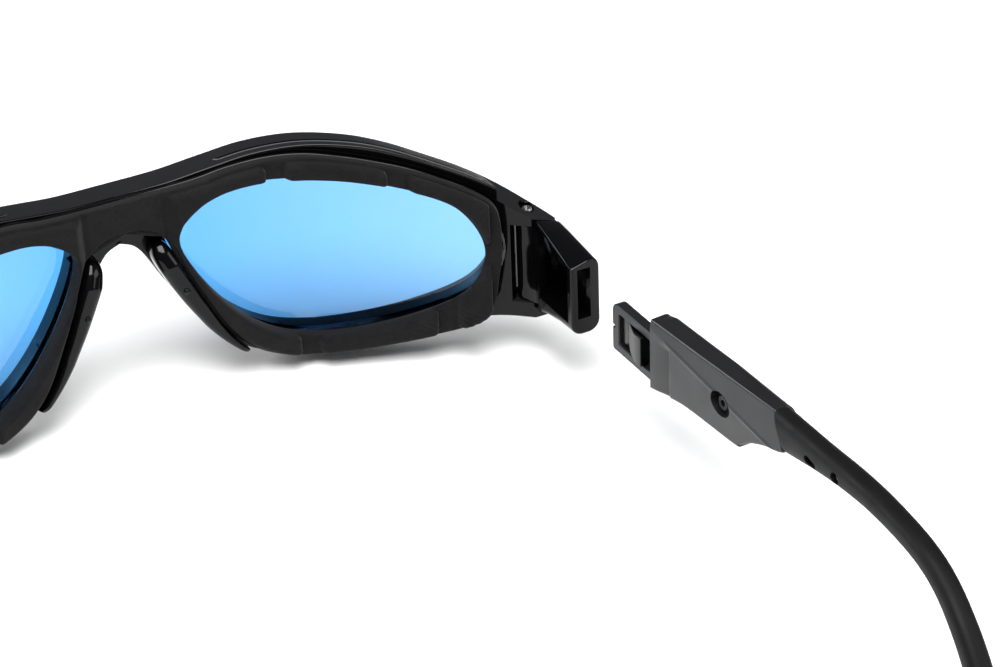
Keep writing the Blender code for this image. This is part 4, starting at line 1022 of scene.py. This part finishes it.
def make_latch(name, side, sizes):
    """The latch tongue in the tab's window, with a ramped hook at its free end."""
    front = arm_front(name)
    root = -TAB_LENGTH + TAB_BAR + FIT_GAP
    outer, inner, hook = TAB_OUTER - FIT_GAP, TAB_OUTER - 1.5, TAB_INNER - 0.8
    plan = [(outer, root), (outer, -2.4), (hook, -2.4), (hook, -4.7), (inner, -8.8), (inner, root)]
    edge = TAB_EDGE + FIT_GAP
    patches = mirror(moved([prism(plan, 2, TAB_LOW + edge, TAB_HIGH - edge)], front), side)
    piece = mesh_object("latch_tongue_" + name, patches, finish("gloss"))
    round_edges(piece, 0.14)
    finish_piece(piece, "latch_" + name, "gloss_black_nylon", "temple_latch_" + name)


def make_tip(name, side):
    """The soft tip: squared round sections carried along its drooping middle line, with a keyhole slot
    and a pinned hole on its inner side."""
    columns = np.column_stack([TIP_LINE, TIP_HALF_HEIGHT, TIP_HALF_THICKNESS])
    columns[0, 3:] += (0.25, 0.1)
    path = evenly(smooth(columns), 170)
    line, height, thickness = path[:, :3], path[:, 3:4], path[:, 4:5]
    share = np.linspace(0, 1, len(path))
    length = np.linalg.norm(np.diff(line, axis=0), axis=1).sum()
    end = quarter_round((1 - share) * length + 0.03, 2.2)[:, None]
    start = 0.25 * (1 - quarter_round(share * length, 0.25))[:, None]
    step = np.gradient(line[:, :2], axis=0)
    step /= np.linalg.norm(step, axis=1)[:, None]
    turn = np.linspace(0, 2 * math.pi, 64, endpoint=False)
    across = np.sign(np.cos(turn)) * np.abs(np.cos(turn)) ** 0.75
    upward = np.sign(np.sin(turn)) * np.abs(np.sin(turn)) ** 0.75 * (height - start) * end
    lean = 0.55 * np.clip(1 - share * 6, 0, 1)[:, None]
    u = ARM_INNER + line[:, 2:] + across * (thickness - start) * end
    y = line[:, :1] - 0.1 - (step[:, 1:] + lean) * upward
    z = line[:, 1:2] + step[:, :1] * upward
    front = arm_front(name)
    patches = mirror(moved([tube(np.stack([u, y, z], -1))], front), side)
    piece = mesh_object("tip_grip_" + name, patches, finish("rubber"))
    slot = np.vstack([arc((KEYHOLE[0] - 0.7, KEYHOLE[1]), 0.85, 90, 270, 12),
                      arc((KEYHOLE[0] + 1.0, KEYHOLE[1] - 0.1), 0.6, -90, 90, 12)])
    hole = arc(TIP_PIN, 1.1, 0, 345, 24)
    cutters = [prism(slot, 0, ARM_INNER - CUT_LAP, ARM_INNER + 1.0),
               prism(hole, 0, ARM_INNER - CUT_LAP, CORE_INNER - 0.1)]
    cut(piece, mirror(moved(cutters, front), side))
    finish_piece(piece, "temple_" + name, "black_rubber", "temple_tip_" + name)


def make_fasteners(name, side):
    """The arm screw in its oval recess, the tip's pin, and the steel core that they hold."""
    front = arm_front(name)
    top = CORE_INNER - 1.2
    head = [(0, top + 0.45), (0.55, top + 0.45), (0.6, top + 0.05), (0.7, top), (1.3, top),
            (1.48, top + 0.2), (1.5, top + 0.75), (1.4, top + 0.9), (0.7, top + 0.9), (0.7, top + 3.1),
            (0, top + 3.1)]
    middle = (front + ARM_SCREW[0], ARM_SCREW[1])
    # The arm screw takes the steel darkened to paint the shade of its recess
    screw = mesh_object("screw_arm_" + name, [turned(head, middle, 0, side)], finish("recess_shade_steel"), 30.0)
    finish_piece(screw, "temple_" + name, "stainless_steel", "arm_screw_" + name)
    dome = [(0, top), (0.35, top + 0.04), (0.62, top + 0.18), (0.78, top + 0.4), (0.8, top + 0.8),
            (0.7, top + 0.9), (0, top + 0.9)]
    middle = (front + TIP_PIN[0], TIP_PIN[1])
    pin = mesh_object("pin_tip_" + name, [turned(dome, middle, 0, side, 32)], finish("steel"), 30.0)
    finish_piece(pin, "temple_" + name, "stainless_steel", "tip_pin_" + name)
    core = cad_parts["temple_core_" + name]
    core.data.materials[0] = finish("steel")


# Operators

class GOGGLES_OT_front(bpy.types.Operator):
    """Builds the front frame and the sheet behind it"""
    bl_idname = "goggles.front"
    bl_label = "Front Frame"

    def execute(self, context):
        make_frame(context.scene.goggles_sizes)
        make_carrier()
        return {"FINISHED"}


class GOGGLES_OT_foam(bpy.types.Operator):
    """Builds the foam face gasket"""
    bl_idname = "goggles.foam"
    bl_label = "Foam Gasket"

    def execute(self, context):
        make_foam(context.scene.goggles_sizes)
        return {"FINISHED"}


class GOGGLES_OT_lenses(bpy.types.Operator):
    """Builds both lenses"""
    bl_idname = "goggles.lenses"
    bl_label = "Lenses"

    def execute(self, context):
        for name, side in SIDES.items():
            make_lens(name, side)
        return {"FINISHED"}


class GOGGLES_OT_nose(bpy.types.Operator):
    """Builds both nose pieces and their studs"""
    bl_idname = "goggles.nose"
    bl_label = "Nose Pieces"

    def execute(self, context):
        for name, side in SIDES.items():
            make_nose_piece(name, side)
        return {"FINISHED"}


class GOGGLES_OT_sockets(bpy.types.Operator):
    """Builds both hinged sockets with their screws and inserts"""
    bl_idname = "goggles.sockets"
    bl_label = "Sockets"

    def execute(self, context):
        for name, side in SIDES.items():
            make_socket(name, side, context.scene.goggles_sizes)
            make_hinge_hardware(name, side)
        return {"FINISHED"}


class GOGGLES_OT_arms(bpy.types.Operator):
    """Builds both arms with their tabs, latches and fasteners"""
    bl_idname = "goggles.arms"
    bl_label = "Arms"

    def execute(self, context):
        for name, side in SIDES.items():
            make_arm(name, side, context.scene.goggles_sizes)
            make_latch(name, side, context.scene.goggles_sizes)
            make_fasteners(name, side)
        return {"FINISHED"}


class GOGGLES_OT_tips(bpy.types.Operator):
    """Builds both soft temple tips"""
    bl_idname = "goggles.tips"
    bl_label = "Temple Tips"

    def execute(self, context):
        for name, side in SIDES.items():
            make_tip(name, side)
        return {"FINISHED"}


def studio_floor():
    """A wide pale floor."""
    made, tree, shader, place = blank_material("painted_board_white", {
        "Roughness": 0.9, "IOR": 1.4, "Specular IOR Level": 0.1})
    drift = mottle(tree, place, 300.0, 2.0, 0.0, 1.0)
    tree.links.new(tint(tree, drift, linear("#f3f3f2"), linear("#f7f7f7")), shader.inputs["Base Color"])
    reach = 3.0
    mesh = bpy.data.meshes.new("studio_floor")
    mesh.from_pydata([(-reach, -reach, 0), (reach, -reach, 0), (reach, reach, 0), (-reach, reach, 0)], [],
                     [(0, 1, 2, 3)])
    floor = bpy.data.objects.new("studio_floor", mesh)
    bpy.context.scene.collection.objects.link(floor)
    mesh.materials.append(made)


def area_light(name, place, target, size, power, colour=(1.0, 1.0, 1.0)):
    """A soft box that faces a target."""
    light = bpy.data.lights.new(name, "AREA")
    light.shape = "RECTANGLE"
    light.size, light.size_y = size
    light.energy = power
    light.color = colour
    made = bpy.data.objects.new(name, light)
    made.location = place
    made.rotation_euler = (Vector(target) - Vector(place)).to_track_quat("-Z", "Y").to_euler()
    bpy.context.scene.collection.objects.link(made)


# Camera: place in the design's millimetres, and the way it looks, in degrees
CAMERA_PLACE = (140.7, 432.5, 255.5)
CAMERA_AZIMUTH = 27.0
CAMERA_ELEVATION = 31.2
CAMERA_ROLL = -2.34
CAMERA_LENS = 100.0


def studio_camera():
    """The camera behind and above the wearer's left shoulder, looking at the inside of the front."""
    azimuth, elevation, roll = (math.radians(a) for a in (CAMERA_AZIMUTH, CAMERA_ELEVATION, CAMERA_ROLL))
    back = Vector((math.cos(elevation) * math.sin(azimuth), math.cos(elevation) * math.cos(azimuth),
                   math.sin(elevation)))
    level = Vector((-math.cos(azimuth), math.sin(azimuth), 0))
    above = back.cross(level)
    right = level * math.cos(roll) + above * math.sin(roll)
    up = back.cross(right)
    turn = Matrix((right, up, back)).transposed().to_4x4()
    camera = bpy.data.objects.new("studio_camera", bpy.data.cameras.new("studio_camera"))
    camera.data.lens = CAMERA_LENS
    camera.data.sensor_width = 36.0
    camera.matrix_world = Matrix.Translation(Vector((np.array(CAMERA_PLACE) + ORIGIN) * MM)) @ turn
    bpy.context.scene.collection.objects.link(camera)
    bpy.context.scene.camera = camera


class GOGGLES_OT_stage(bpy.types.Operator):
    """Builds the floor, the soft lights and the camera"""
    bl_idname = "goggles.stage"
    bl_label = "Stage"

    def execute(self, context):
        studio_floor()
        area_light("light_overhead", (0.2, 0.45, 1.2), (0.0, 0.0, 0.0), (0.9, 0.9), 30.0)
        area_light("light_front", (0.9, -1.0, 0.6), (0.0, -0.1, 0.0), (0.8, 0.6), 14.0)
        area_light("light_back", (-0.9, 0.9, 0.7), (0.0, 0.0, 0.0), (0.8, 0.6), 5.0)
        world = bpy.data.worlds.new("studio_world")
        world.use_nodes = True
        world.node_tree.nodes["Background"].inputs["Color"].default_value = linear("#f2f5fa")
        world.node_tree.nodes["Background"].inputs["Strength"].default_value = 0.16
        context.scene.world = world
        context.scene.view_settings.view_transform = "Standard"
        studio_camera()
        return {"FINISHED"}


class GOGGLES_PT_panel(bpy.types.Panel):
    """Lists the sizes, the colours and the pieces"""
    bl_label = "Goggles"
    bl_space_type = "VIEW_3D"
    bl_region_type = "UI"
    bl_category = "Goggles"

    def draw(self, context):
        for group in (context.scene.goggles_sizes, context.scene.goggles_colours):
            for key in group.__annotations__:
                self.layout.prop(group, key)
        for operator in OPERATORS:
            self.layout.operator(operator.bl_idname)


OPERATORS = (GOGGLES_OT_front, GOGGLES_OT_foam, GOGGLES_OT_lenses, GOGGLES_OT_nose, GOGGLES_OT_sockets,
             GOGGLES_OT_arms, GOGGLES_OT_tips, GOGGLES_OT_stage)
CLASSES = (GogglesSizes, GogglesColours, *OPERATORS, GOGGLES_PT_panel)


def register():
    """Registers the classes and hangs the settings on the scene."""
    for cls in CLASSES:
        bpy.utils.register_class(cls)
    bpy.types.Scene.goggles_sizes = bpy.props.PointerProperty(type=GogglesSizes)
    bpy.types.Scene.goggles_colours = bpy.props.PointerProperty(type=GogglesColours)


def unregister():
    """Takes the settings and the classes away again."""
    del bpy.types.Scene.goggles_colours
    del bpy.types.Scene.goggles_sizes
    for cls in reversed(CLASSES):
        bpy.utils.unregister_class(cls)


def main():
    """Builds everything in order."""
    register()
    bpy.ops.goggles.front()
    bpy.ops.goggles.foam()
    bpy.ops.goggles.lenses()
    bpy.ops.goggles.nose()
    bpy.ops.goggles.sockets()
    bpy.ops.goggles.arms()
    bpy.ops.goggles.tips()
    bpy.ops.goggles.stage()


if __name__ == "__main__":
    main()
